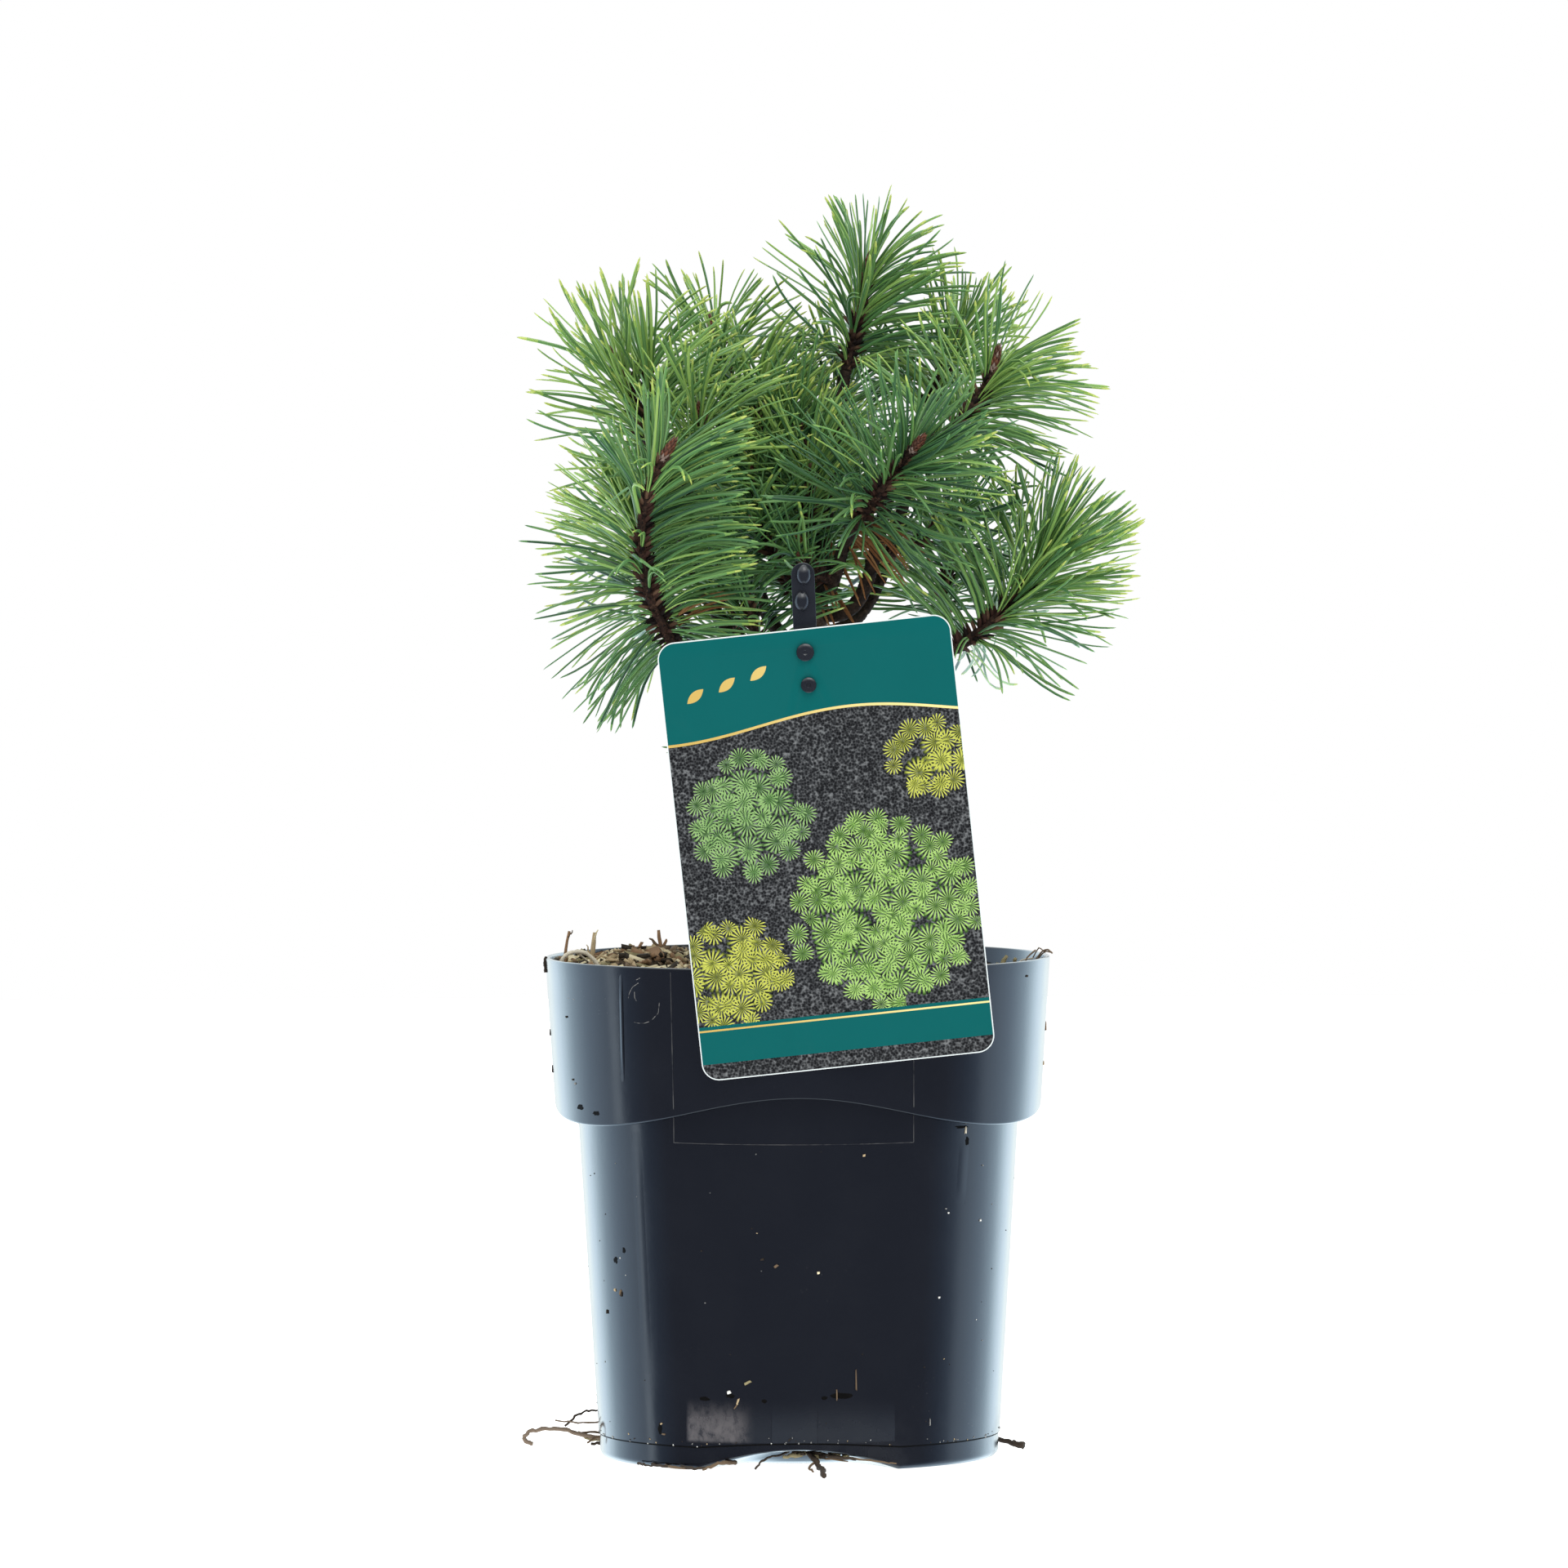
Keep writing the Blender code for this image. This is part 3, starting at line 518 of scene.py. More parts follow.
def rows_to_heap(heap, rows, finish=0):
    """Joins rows of equal length with quads. The first and the last row are one point each."""
    columns = len(rows[0])
    turns = [(column, (column + 1) % columns) for column in range(columns)]
    last = 1 + (len(rows) - 2) * columns
    faces = [[0, 1 + column, 1 + after] for column, after in turns]
    for low in range(1, last - columns, columns):
        high = low + columns
        faces += [[low + after, low + column, high + column, high + after] for column, after in turns]
    faces += [[last - columns + after, last - columns + column, last] for column, after in turns]
    heap.add([rows[0][0], *np.concatenate(rows[1:-1]), rows[-1][0]], faces, finish)


def arc(middle, radius, start, end, steps):
    """Points on an arc in a plane, by angles in degrees."""
    points = []
    for number in range(steps + 1):
        angle = radians(start + (end - start) * number / steps)
        points.append((middle[0] + radius * cos(angle), middle[1] + radius * sin(angle)))
    return points


print("pot: %.0f mm across, %.0f mm high" % (RIM_RADIUS * 2.0 / MM, POT_HEIGHT / MM))

# %% [markdown]
# ## The pot's mould lines
# The mould left thin raised lines on the front: two straight down from the rim, one that joins
# them under the collar, and low rounded ridges at both sides that catch the light. Each is a
# slim strip on the wall, its back sunk into it. A profile says how far each of its edges
# stands out, so the same few lines of code draw flat strips, ridges and scratches.

# %% Lines on the wall
LINE_SUNK = 0.3 * MM
LINE_LEFT = -46.3 * MM
LINE_LEFT_TOP = -47.2 * MM
LINE_RIGHT = 42.8 * MM
LINE_LEVEL = 122.3 * MM


def strip_profile(half, *edges):
    """A strip's half width and its profile: how far across each edge is, and how far out, in mm."""
    raised = [(across, out * MM) for across, out in edges]
    return half * MM, [(1.0, -LINE_SUNK), *raised, (-1.0, -LINE_SUNK)]


STRIP = strip_profile(0.21, (0.6, 0.09), (-0.6, 0.09))
SCRATCH = strip_profile(0.15, (0.7, 0.03), (-0.7, 0.03))
RIDGE = strip_profile(0.70, (0.94, 0.26), (0.5, 0.40), (0.0, 0.28), (-0.5, 0.11), (-0.95, 0.0))
SWELL = strip_profile(1.90, (0.97, 0.0), (0.5, 0.060), (0.0, 0.085), (-0.5, 0.060), (-0.97, 0.0))
RIDGES = (  # x and height of the ends, in millimetres, and the profile
    ((-65.9, 185.8), (-65.2, 145.0), RIDGE),
    ((-60.6, 125.5), (-56.6, 35.0), SWELL),
    ((62.1, 123.5), (60.3, 98.0), SWELL),
)
SCRATCHES = (  # places along each hair scratch, x and height
    ((-59.2, 182.1), (-61.4, 180.5), (-62.6, 178.2), (-63.0, 176.3)),
    ((-60.7, 178.7), (-60.6, 176.5), (-60.0, 175.4)),
    ((-51.4, 175.0), (-51.8, 171.2), (-54.1, 168.6)),
    ((-55.3, 167.8), (-57.0, 167.2), (-59.3, 167.1), (-60.8, 167.4)),
    ((-86.0, 174.6), (-83.4, 174.3)),
    ((-58.6, 184.0), (-60.0, 183.2)),
)


def wall_point(x, height, off=0.0):
    """A point on the front of the outer wall, pushed out by a little."""
    edge = COLLAR_FOOT + collar_wave(atan2(-1.0, x / RIM_RADIUS))
    radius = (collar_radius(height) if height > edge else body_radius(height)) + off
    turn = asin(max(-1.0, min(1.0, x / (radius - off))))
    return (radius * sin(turn), -radius * cos(turn), height)


def wall_line(heap, places, finish, shape=STRIP, taper=False):
    """A strip through (x, height) places on the wall. A taper lets it sink in at its ends."""
    half, profile = shape
    points = []
    for number, (x, height) in enumerate(places):
        before = places[max(number - 1, 0)]
        after = places[min(number + 1, len(places) - 1)]
        run = Vector((after[0] - before[0], after[1] - before[1])).normalized()
        side = Vector((-run.y, run.x)) * half
        full = min(number, len(places) - 1 - number) / (len(places) * 0.25) if taper else 1.0
        for sign, off in profile:
            off = off * min(full, 1.0) if off > 0.0 else off
            points.append(wall_point(x + side.x * sign, height + side.y * sign, off))
    heap.add(points, tube_faces(len(places), len(profile)), finish)


def wall_patch(heap, x, height, wide, tall, finish, dice):
    """A flat ragged patch of dirt on the wall, a hair thick."""
    corners = 13
    points = [wall_point(x, height, 0.10 * MM)]
    for off in (0.05 * MM, -0.3 * MM):
        for number in range(corners):
            turn = tau * number / corners
            reach = 0.5 * dice.uniform(0.62, 1.15) if off > 0.0 else 0.5
            across, up = wide * reach * cos(turn), tall * reach * sin(turn)
            points.append(wall_point(x + across, height + up, off))
    edges = [(1 + number, 1 + (number + 1) % corners) for number in range(corners)]
    faces = [[0, near, after] for near, after in edges]
    faces += [[after, near, corners + near, corners + after] for near, after in edges]
    faces.append([corners + near for near, _ in edges][::-1])
    heap.add(points, faces, finish)


def steps_between(start, end, count):
    """Evenly spaced (x, height) places from one to another."""
    return [tuple(a + (b - a) * n / count for a, b in zip(start, end)) for n in range(count + 1)]


print("%d ridges, %d scratches" % (len(RIDGES), len(SCRATCHES)))

# %% [markdown]
# ## The pot's plastic
# Black plastic that has been outdoors: glossy, a little blue, with cloudy patches where water
# dried, fine dust, three flat panels by the foot that have gone matt, and a pale brown smear on
# the left one. On a black surface what shows is how sharply it mirrors the tent, so the colour
# stays nearly black and the roughness says most of this.

# %% Pot plastic
PANEL_FOOT = 10.3 * MM
PANEL_TOP = 27.5 * MM
PANELS = ((-42.0, -10.4, 0.7), (-10.4, 6.7, 1.0), (6.7, 35.6, 0.8))  # left, right, how matt
SMEAR_ACROSS = ((-42.4 * MM, -40.5 * MM), (-25.0 * MM, -16.0 * MM))
SMEAR_UP = ((9.8 * MM, 11.8 * MM), (15.0 * MM, 27.5 * MM))
STREAK_STRETCH = (1.0, 1.0, 0.16)
WISP_STRETCH = (1.6, 1.6, 1.0)
LINE_TONES = (  # name, scale and detail of the noise, dark, light, roughness, its rise, step, specular
    ("mould_line", 200.0, 4.0, (0.016, 0.017, 0.021), (0.070, 0.069, 0.068), 0.24, 0.4, (0.34, 0.72)),
    ("scratch", 700.0, 3.0, (0.015, 0.015, 0.018), (0.20, 0.195, 0.185), 0.6, 0.2, (0.4, 0.6), 0.3),
    # This dark finish is the wet dirt on the wall, and also the painted shade in the foot's seam.
    ("dirt_and_seam_shade", 500.0, 3.0, (0.0020, 0.0020, 0.0022), (0.0070, 0.0065, 0.0060), 0.5, 0.3, None, 0.04),
)


def pot_plastic():
    plastic = Finish("pot_plastic", specular_ior_level=0.5)
    x, y, z = plastic.parts(plastic.spot)
    cloud = plastic.grain(38.0, 5.0, 0.6)
    streaks = plastic.grain(150.0, where=plastic.vector("MULTIPLY", plastic.spot, STREAK_STRETCH))
    dust = plastic.cells(520.0) < 0.07
    dusty = dust * plastic.between(plastic.grain(22.0, 2.0), 0.56, 0.72)
    front = y < -50.0 * MM
    matt = 0.0
    for left, right, share in PANELS:
        rise, fall = ((left - 0.2) * MM, (left + 0.4) * MM), ((right - 0.4) * MM, (right + 0.2) * MM)
        matt = plastic.window(x, rise, fall) * share + matt
    matt = matt * plastic.window(z, (PANEL_FOOT, PANEL_FOOT + 0.8 * MM), (13.0 * MM, PANEL_TOP)) * front
    wisps = plastic.grain(190.0, 4.0, 0.7, where=plastic.vector("MULTIPLY", plastic.spot, WISP_STRETCH))
    smear = plastic.window(x, *SMEAR_ACROSS) * plastic.window(z, *SMEAR_UP)
    smear = smear * plastic.between(wisps, 0.22, 0.62) * front
    foot_grime = (1.0 - plastic.between(z, 4.0 * MM, 30.0 * MM)) * plastic.between(cloud, 0.45, 0.75)
    base = plastic.mix(cloud, (0.0052, 0.0060, 0.0088), (0.0078, 0.0090, 0.0130))
    base = plastic.mix(foot_grime * 0.55, base, (0.019, 0.021, 0.026))
    base = plastic.mix(matt * 0.7, base, (0.022, 0.027, 0.036))
    base = plastic.mix(smear * 0.9, base, (0.105, 0.096, 0.100))
    base = plastic.mix(dusty * 0.5, base, (0.12, 0.115, 0.11))
    rough = 0.10 + plastic.between(cloud, 0.35, 0.8) * 0.08 + plastic.between(streaks, 0.5, 0.8) * 0.05
    rough = rough + smear * 0.2 + foot_grime * 0.12 + matt * 0.12 + dusty * 0.3
    relief = plastic.grain(900.0, 2.0) * 0.3 + plastic.grain(90.0, 2.0)
    plastic.set(base_color=base, roughness=rough)
    plastic.relief(relief, 0.06 * MM, 0.5)
    return plastic


def line_finishes():
    """The raised lines, the glossy ridges, the pale scratches, and the dull wet dirt, whose finish also
    paints shade into the step of the foot's seam.
    """
    line, scratch, dirt_and_shade = (two_tone(*row) for row in LINE_TONES)
    ridge = Finish("mould_ridge", base_color=(0.0075, 0.009, 0.013), specular_ior_level=0.5)
    ridge.set(roughness=0.12 + ridge.grain(300.0) * 0.1)
    return [line, ridge, scratch, dirt_and_shade]


print("%d matt panels by the foot" % len(PANELS))

# %% Build the pot
def pot_profile():
    """Radius and height pairs round the wall's section: inside, rim, collar, body and underside."""
    edge = COLLAR_FOOT
    foot = FOOT_RADIUS - FOOT_INSET
    rim = collar_radius(POT_HEIGHT)
    profile = [(0.0, FLOOR_THICKNESS)]
    profile += [(VAULT_START + 3.5 * MM * n, FLOOR_THICKNESS) for n in range(5)]
    profile += [(foot - WALL - FOOT_ROUND, FLOOR_THICKNESS)]
    profile += [(body_radius(FOOT_SEAM * 2.0) - WALL, FOOT_SEAM * 2.0)]
    profile += [(body_radius(edge) - WALL, edge + WALL), (collar_radius(edge) - WALL, edge + WALL)]
    profile += arc((rim - WALL + RIM_ROUND, POT_HEIGHT - RIM_ROUND), RIM_ROUND, 180.0, 90.0, 3)
    profile += arc((rim - RIM_ROUND, POT_HEIGHT - RIM_ROUND), RIM_ROUND, 90.0, 0.0, 4)
    profile += [(collar_radius(h * MM), h * MM) for h in (182.0, 174.0, 160.0, 147.0)]
    rounded = collar_radius(edge) - COLLAR_ROUND
    profile += arc((rounded, edge + COLLAR_ROUND), COLLAR_ROUND, 0.0, -90.0, 5)
    profile += [(body_radius(edge), edge)]
    profile += [(body_radius(h * MM), h * MM) for h in (125.0, 104.0, 78.0, 52.0, 30.0, 17.0)]
    profile += [(body_radius(FOOT_SEAM + 0.2 * MM), FOOT_SEAM + 0.2 * MM)]
    profile += [(body_radius(FOOT_SEAM) - 0.15 * MM, FOOT_SEAM)]
    profile += [(foot, FOOT_SEAM - SEAM_STEP), (foot, FOOT_SEAM / 2.0)]
    profile += arc((foot - FOOT_ROUND, FOOT_ROUND), FOOT_ROUND, 0.0, -50.0, 5)
    profile += [(foot - FOOT_ROUND * 0.635, 0.0), (60.0 * MM, 0.0)]
    profile += [(VAULT_FULL - 3.5 * MM * n, 0.0) for n in range(5)]
    return profile + [(0.0, 0.0)]


def build_pot():
    """The shell, and then a drain hole drilled over each arch."""
    heap = Heap()
    rows_to_heap(heap, turned_rows(pot_profile(), POT_COLUMNS, FLOOR_THICKNESS))
    pot = make_piece("pot_shell", heap, [pot_plastic()], ["pot"], 32.0)
    cutters = []
    for number in range(ARCH_COUNT):
        angle = FRONT + number * tau / ARCH_COUNT
        shape = bmesh.new()
        size = {"radius1": DRAIN_RADIUS, "radius2": DRAIN_RADIUS, "depth": FOOT_SEAM * 2.0}
        bmesh.ops.create_cone(shape, cap_ends=True, segments=36, **size)
        mesh = bpy.data.meshes.new("drain")
        shape.to_mesh(mesh)
        shape.free()
        drill = add_thing("drain", mesh)
        drill.location = (DRAIN_PLACE * cos(angle), DRAIN_PLACE * sin(angle), ARCH_HEIGHT)
        cut = pot.modifiers.new("drain", "BOOLEAN")
        cut.object = drill
        cut.solver = "EXACT"
        cutters.append(drill)
    graph = bpy.context.evaluated_depsgraph_get()
    graph.update()
    drilled = bpy.data.meshes.new_from_object(pot.evaluated_get(graph))
    pot.modifiers.clear()
    pot.data = drilled
    for drill in cutters:
        bpy.data.objects.remove(drill, do_unlink=True)


build_pot()

# %% Mould lines, dirt and the painted shade in the seam
DIRT_PATCHES = (  # x and height, width and height, in millimetres
    (-35.2, 26.8, 4.4, 1.6), (-25.6, 28.2, 4.0, 1.8), (-13.0, 26.4, 2.0, 1.7), (15.4, 28.3, 8.4, 2.9),
    (9.2, 27.6, 3.0, 1.3), (-81.4, 133.9, 2.4, 2.2), (-75.4, 132.3, 2.6, 1.8), (-65.3, 80.6, 1.3, 3.0),
    (-68.4, 76.5, 1.5, 2.8), (-52.0, 14.6, 1.8, 4.2), (62.9, 121.4, 1.6, 3.4), (61.0, 127.0, 5.4, 1.2),
)


def painted_seam_shade(heap, finish):
    """A thin, nearly black ring in the step of the foot's seam: painted shade in that crease."""
    angles = np.arange(POT_COLUMNS) * tau / POT_COLUMNS
    lift = SEAM_LIFT * arch_lift(angles, FOOT_RADIUS)
    top, low = body_radius(FOOT_SEAM), FOOT_RADIUS - FOOT_INSET
    corners = (
        (top - LINE_SUNK, FOOT_SEAM + 0.16 * MM),
        (top + 0.03 * MM, FOOT_SEAM + 0.16 * MM),
        (low + 0.05 * MM, FOOT_SEAM - SEAM_STEP - 0.06 * MM),
        (low - LINE_SUNK, FOOT_SEAM - SEAM_STEP - 0.06 * MM),
    )
    points = [np.stack([r * np.cos(angles), r * np.sin(angles), h + lift], 1) for r, h in corners]
    faces = tube_faces(5, POT_COLUMNS)[:-2]
    heap.add(np.concatenate(points), [[n % (4 * POT_COLUMNS) for n in face] for face in faces], finish)


def draw_mould_lines():
    """The lines, the dirt and the seam's painted shade as one piece, so that drilling the pot leaves them
    alone.
    """
    dice = random.Random(41)
    heap = Heap()
    # A ring of painted shade in the step of the foot's seam, in the dirt's dark finish.
    painted_seam_shade(heap, 3)
    gap = 0.6 * MM
    for top, x in ((LINE_LEFT_TOP, LINE_LEFT), (LINE_RIGHT, LINE_RIGHT)):
        edge = COLLAR_FOOT + collar_wave(atan2(-1.0, x / RIM_RADIUS))
        wall_line(heap, steps_between((top, POT_HEIGHT - 1.5 * MM), (x, edge + COLLAR_ROUND + gap), 12), 0)
        wall_line(heap, steps_between((x, edge - gap), (x, LINE_LEVEL), 3), 0)
    wall_line(heap, steps_between((LINE_LEFT, LINE_LEVEL), (LINE_RIGHT, LINE_LEVEL), 24), 0)
    for start, end, shape in RIDGES:
        start, end = [value * MM for value in start], [value * MM for value in end]
        wall_line(heap, steps_between(start, end, 20), 1, shape, taper=True)
    for places in SCRATCHES:
        wall_line(heap, [(x * MM, height * MM) for x, height in places], 2, SCRATCH)
    for x, height, wide, tall in DIRT_PATCHES:
        wall_patch(heap, x * MM, height * MM, wide * MM, tall * MM, 3, dice)
    make_piece("pot_mould_lines", heap, line_finishes(), (), 40.0)


draw_mould_lines()

# %% [markdown]
# ## The soil
# Bark chips and coconut fibre fill the pot to just under its rim, heaped a little to the left
# and the back. Close up it is all separate crumbs: a closed body with a rough top, which keeps
# the solid's height rule, and loose chips, fibres and a few upright sticks strewn over it.

# %% The soil's height
SOIL_MIDDLE = 182.5 * MM
SOIL_SEAT = 13.0 * MM
SOIL_BEND = 50.0 * MM
SOIL_EDGE_DROP = 2.2 * MM
SOIL_SLOPE_X = -0.035
SOIL_SLOPE_Y = 0.018
SOIL_LUMP = 1.6 * MM
SOIL_WAVE = 10.0 * MM
SOIL_OFF_FLOOR = 1.4 * MM
SKIN = WALL + 0.3 * MM
HEAP_PLACE = (-58.0 * MM, 6.0 * MM)
HEAP_SIZE = 19.0 * MM
HEAP_RISE = 4.2 * MM
SOIL_COLUMNS = 200
SOIL_ROWS = 58


def soil_height(x, y):
    """The top of the soil: level at the trunk, higher to the left and the back, lumpy."""
    radius = np.hypot(x, y)
    away = smooth_step(SOIL_SEAT, SOIL_BEND, radius)
    lumps = np.sin(x / SOIL_WAVE + 1.0) * np.sin(y / SOIL_WAVE + 2.0)
    sag = SOIL_EDGE_DROP * smooth_step(SOIL_BEND, RIM_RADIUS, radius)
    slope = SOIL_SLOPE_X * x + SOIL_SLOPE_Y * y
    off_heap = ((x - HEAP_PLACE[0]) ** 2 + (y - HEAP_PLACE[1]) ** 2) / HEAP_SIZE**2
    return SOIL_MIDDLE + away * (slope + SOIL_LUMP * lumps) - sag + HEAP_RISE * np.exp(-off_heap)


def crumb(x, y):
    """Small lumps on the soil, from noise at two sizes."""
    coarse = noise.noise(Vector((x, y, 0.0)) / (3.4 * MM))
    fine = noise.noise(Vector((x, y, 0.3)) / (1.3 * MM))
    return coarse * 1.5 * MM + fine * 0.7 * MM


def soil_finish():
    """Dark crumbs to straw, dealt by noise, under a coarse relief."""
    soil = Finish("potting_soil", roughness=0.95, specular_ior_level=0.2)
    stops = (
        (0.30, (0.016, 0.012, 0.009)),
        (0.48, (0.080, 0.054, 0.034)),
        (0.62, (0.190, 0.135, 0.085)),
        (0.78, (0.330, 0.250, 0.160)),
    )
    soil.set(base_color=soil.ramp(soil.grain(300.0, 4.0, 0.65), stops))
    soil.relief(soil.grain(700.0, 4.0), 0.7 * MM)
    return soil


print("soil: %.1f mm high in the middle" % (SOIL_MIDDLE / MM))


# %% Fill the pot
def build_soil():
    floor = FLOOR_THICKNESS + SOIL_OFF_FLOOR
    foot = FOOT_RADIUS - FOOT_INSET - FOOT_ROUND - WALL - SOIL_OFF_FLOOR
    top_edge = collar_radius(SOIL_MIDDLE) - SKIN
    tops = [(top_edge * n / SOIL_ROWS, SOIL_MIDDLE) for n in range(SOIL_ROWS + 1)]
    sides = [(radius(COLLAR_FOOT) - SKIN, COLLAR_FOOT + SKIN) for radius in (collar_radius, body_radius)]
    sides += [(body_radius(FOOT_SEAM * 2.0) - SKIN, FOOT_SEAM * 2.0)]
    vault = (foot, VAULT_FULL, (VAULT_START + VAULT_FULL) / 2.0, VAULT_START, 0.0)
    sides += [(radius, floor) for radius in vault]
    rows = turned_rows(tops + sides, SOIL_COLUMNS, floor)
    for row in rows[: len(tops)]:
        for point in row:
            height = soil_height(*point[:2]) + crumb(*point[:2])
            radius = hypot(*point[:2])
            point[2] = height
            if radius > top_edge - 1.5 * MM:
                point[:2] *= (collar_radius(height) - SKIN - (top_edge - radius)) / radius
    heap = Heap()
    rows_to_heap(heap, rows)
    make_piece("soil_body", heap, [soil_finish()], ["soil"], 70.0)


build_soil()

# %% [markdown]
# ## Chips and fibres
# Each chip is a rough little box with jittered corners, each fibre a thin bent strand. Their
# browns are dealt out as plain colours: a pattern would slide about on such small scattered
# shapes when the model is exported, and a plain colour can't.

# %% Small loose shapes
CHIP_FACES = ((3, 2, 1, 0), (4, 5, 6, 7), (0, 1, 5, 4), (1, 2, 6, 5), (2, 3, 7, 6), (3, 0, 4, 7))
BROWNS = {
    "chip_dark": (0.032, 0.023, 0.015),
    "chip_brown": (0.150, 0.102, 0.062),
    "chip_red": (0.270, 0.160, 0.088),
    "chip_tan": (0.470, 0.360, 0.215),
    "chip_straw": (0.760, 0.660, 0.440),
    "chip_olive": (0.280, 0.240, 0.130),
    "speck_white": (0.740, 0.740, 0.710),
    "speck_grey": (0.230, 0.230, 0.220),
    "root_dark": (0.052, 0.038, 0.027),
    "root_grey": (0.225, 0.170, 0.125),
    "root_pale": (0.640, 0.580, 0.460),
}
TONE = {name: number for number, name in enumerate(BROWNS)}


def plain_brown(name, colour):
    """A woody finish in one colour, with grain in its gloss and relief."""
    wood = Finish(name, base_color=colour, specular_ior_level=0.3)
    wood.set(roughness=0.75 + wood.grain(900.0) * 0.25)
    wood.relief(wood.grain(1600.0, 3.0), 0.3 * MM)
    return wood


def plain_browns(table):
    return [plain_brown(name, colour) for name, colour in table.items()]


def chip_shape(middle, along, side, size, dice):
    """A rough box, as long, wide and thick as size says."""
    up = along.cross(side)
    points = []
    for top in (-0.5, 0.5):
        for a, b in ((-0.5, -0.5), (0.5, -0.5), (0.5, 0.5), (-0.5, 0.5)):
            wobble = [1.0 + dice.uniform(-0.35, 0.35) for _ in range(3)]
            points.append(
                middle
                + along * (a * size[0] * wobble[0])
                + side * (b * size[1] * wobble[1])
                + up * (top * size[2] * wobble[2])
            )
    return points


def heading(turn, rise=0.0):
    """A direction at a turn about the upright, with so much rise."""
    return Vector((cos(turn), sin(turn), rise))


def spoke(side, other, turn):
    """A direction at a turn between two that are square to each other."""
    return side * cos(turn) + other * sin(turn)


def jitter(dice, reach):
    """A small random vector, up to so far each way."""
    return Vector([dice.uniform(-reach, reach) for _ in range(3)])


def carried(ways):
    """For each direction in turn, two others square to it, that twist as little as can be."""
    side = ways[0].orthogonal().normalized()
    for way in ways:
        side = (side - way * side.dot(way)).normalized()
        yield side, way.cross(side)


def strand(heap, spots, radii, sides, finish):
    """A closed tube through the spots, with a radius at each."""
    ends = [spots[0], *spots, spots[-1]]
    ways = [(after - before).normalized() for before, after in zip(ends, ends[2:])]
    points = []
    for spot, radius, (side, other) in zip(spots, radii, carried(ways)):
        points += [spot + spoke(side, other, tau * corner / sides) * radius for corner in range(sides)]
    heap.add(points, tube_faces(len(spots), sides), finish)


print("%d browns to deal out" % len(BROWNS))

# %% Strew the soil
CHIP_COUNT = 3300
LARGE_SHARE = 0.22
CHIP_SHARES = (4, 3, 4, 6, 5, 3)  # how often each of the first browns is dealt to a chip
FIBRE_COUNT = 330
FIBRE_SPOTS = 7
TRUNK_CLEAR = 9.5 * MM


def soil_spot(dice, edge_room):
    """A random place on the soil, off the trunk and the wall."""
    while True:
        radius = sqrt(dice.random()) * (RIM_RADIUS - WALL)
        angle = dice.uniform(0.0, tau)
        x, y = radius * cos(angle), radius * sin(angle)
        height = float(soil_height(x, y))
        if TRUNK_CLEAR < radius < collar_radius(height) - WALL - edge_room:
            return Vector((x, y, height + crumb(x, y)))


def strew_chip(chips, dice):
    long = (dice.uniform(4.5, 9.5) if dice.random() < LARGE_SHARE else dice.uniform(2.2, 4.8)) * MM
    size = (long, long * dice.uniform(0.22, 0.6), dice.uniform(0.6, 1.9) * MM)
    spot = soil_spot(dice, long * 0.62)
    along = heading(dice.uniform(0.0, pi), dice.uniform(-0.6, 0.7)).normalized()
    side = along.cross(UP + Vector((dice.uniform(-0.7, 0.7), dice.uniform(-0.7, 0.7), 0.0))).normalized()
    brown = dice.choices(range(len(CHIP_SHARES)), CHIP_SHARES)[0]
    spot.z += dice.uniform(-0.4, 2.1) * MM
    chips.add(chip_shape(spot, along, side, size, dice), CHIP_FACES, brown)


def strew_fibre(fibres, dice):
    reach = dice.uniform(5.0, 16.0) * MM
    spot = soil_spot(dice, reach * 0.6)
    turn = dice.uniform(0.0, tau)
    bend = dice.uniform(-0.9, 0.9)
    points = []
    for step in range(FIBRE_SPOTS):
        share = step / (FIBRE_SPOTS - 1.0) - 0.5
        lift = (1.2 - 5.0 * share * share) * dice.uniform(0.7, 1.1) * MM
        points.append(spot + heading(turn + bend * share) * (share * reach) + UP * lift)
    thick = dice.uniform(0.14, 0.34) * MM
    radii = [thick * (1.0 - 0.5 * abs(step / 3.0 - 1.0)) for step in range(FIBRE_SPOTS)]
    strand(fibres, points, radii, 4, dice.choices((1, 2, 3, 4), (2, 3, 4, 3))[0])


def strew_soil():
    dice = random.Random(5)
    chips, fibres = Heap(), Heap()
    for _ in range(CHIP_COUNT):
        strew_chip(chips, dice)
    for _ in range(FIBRE_COUNT):
        strew_fibre(fibres, dice)
    browns = plain_browns(BROWNS)
    make_piece("soil_chips", chips, browns)
    make_piece("soil_fibres", fibres, browns)
    return browns


browns = strew_soil()

# %% [markdown]
# ## Sticks by the rim
# A few splinters of bark stand up at the left rim, with a pale root that arches out of the soil,
# and a thin twig lies against the right wall. They break the pot's straight edge, so each one is
# placed where it stands in the picture.

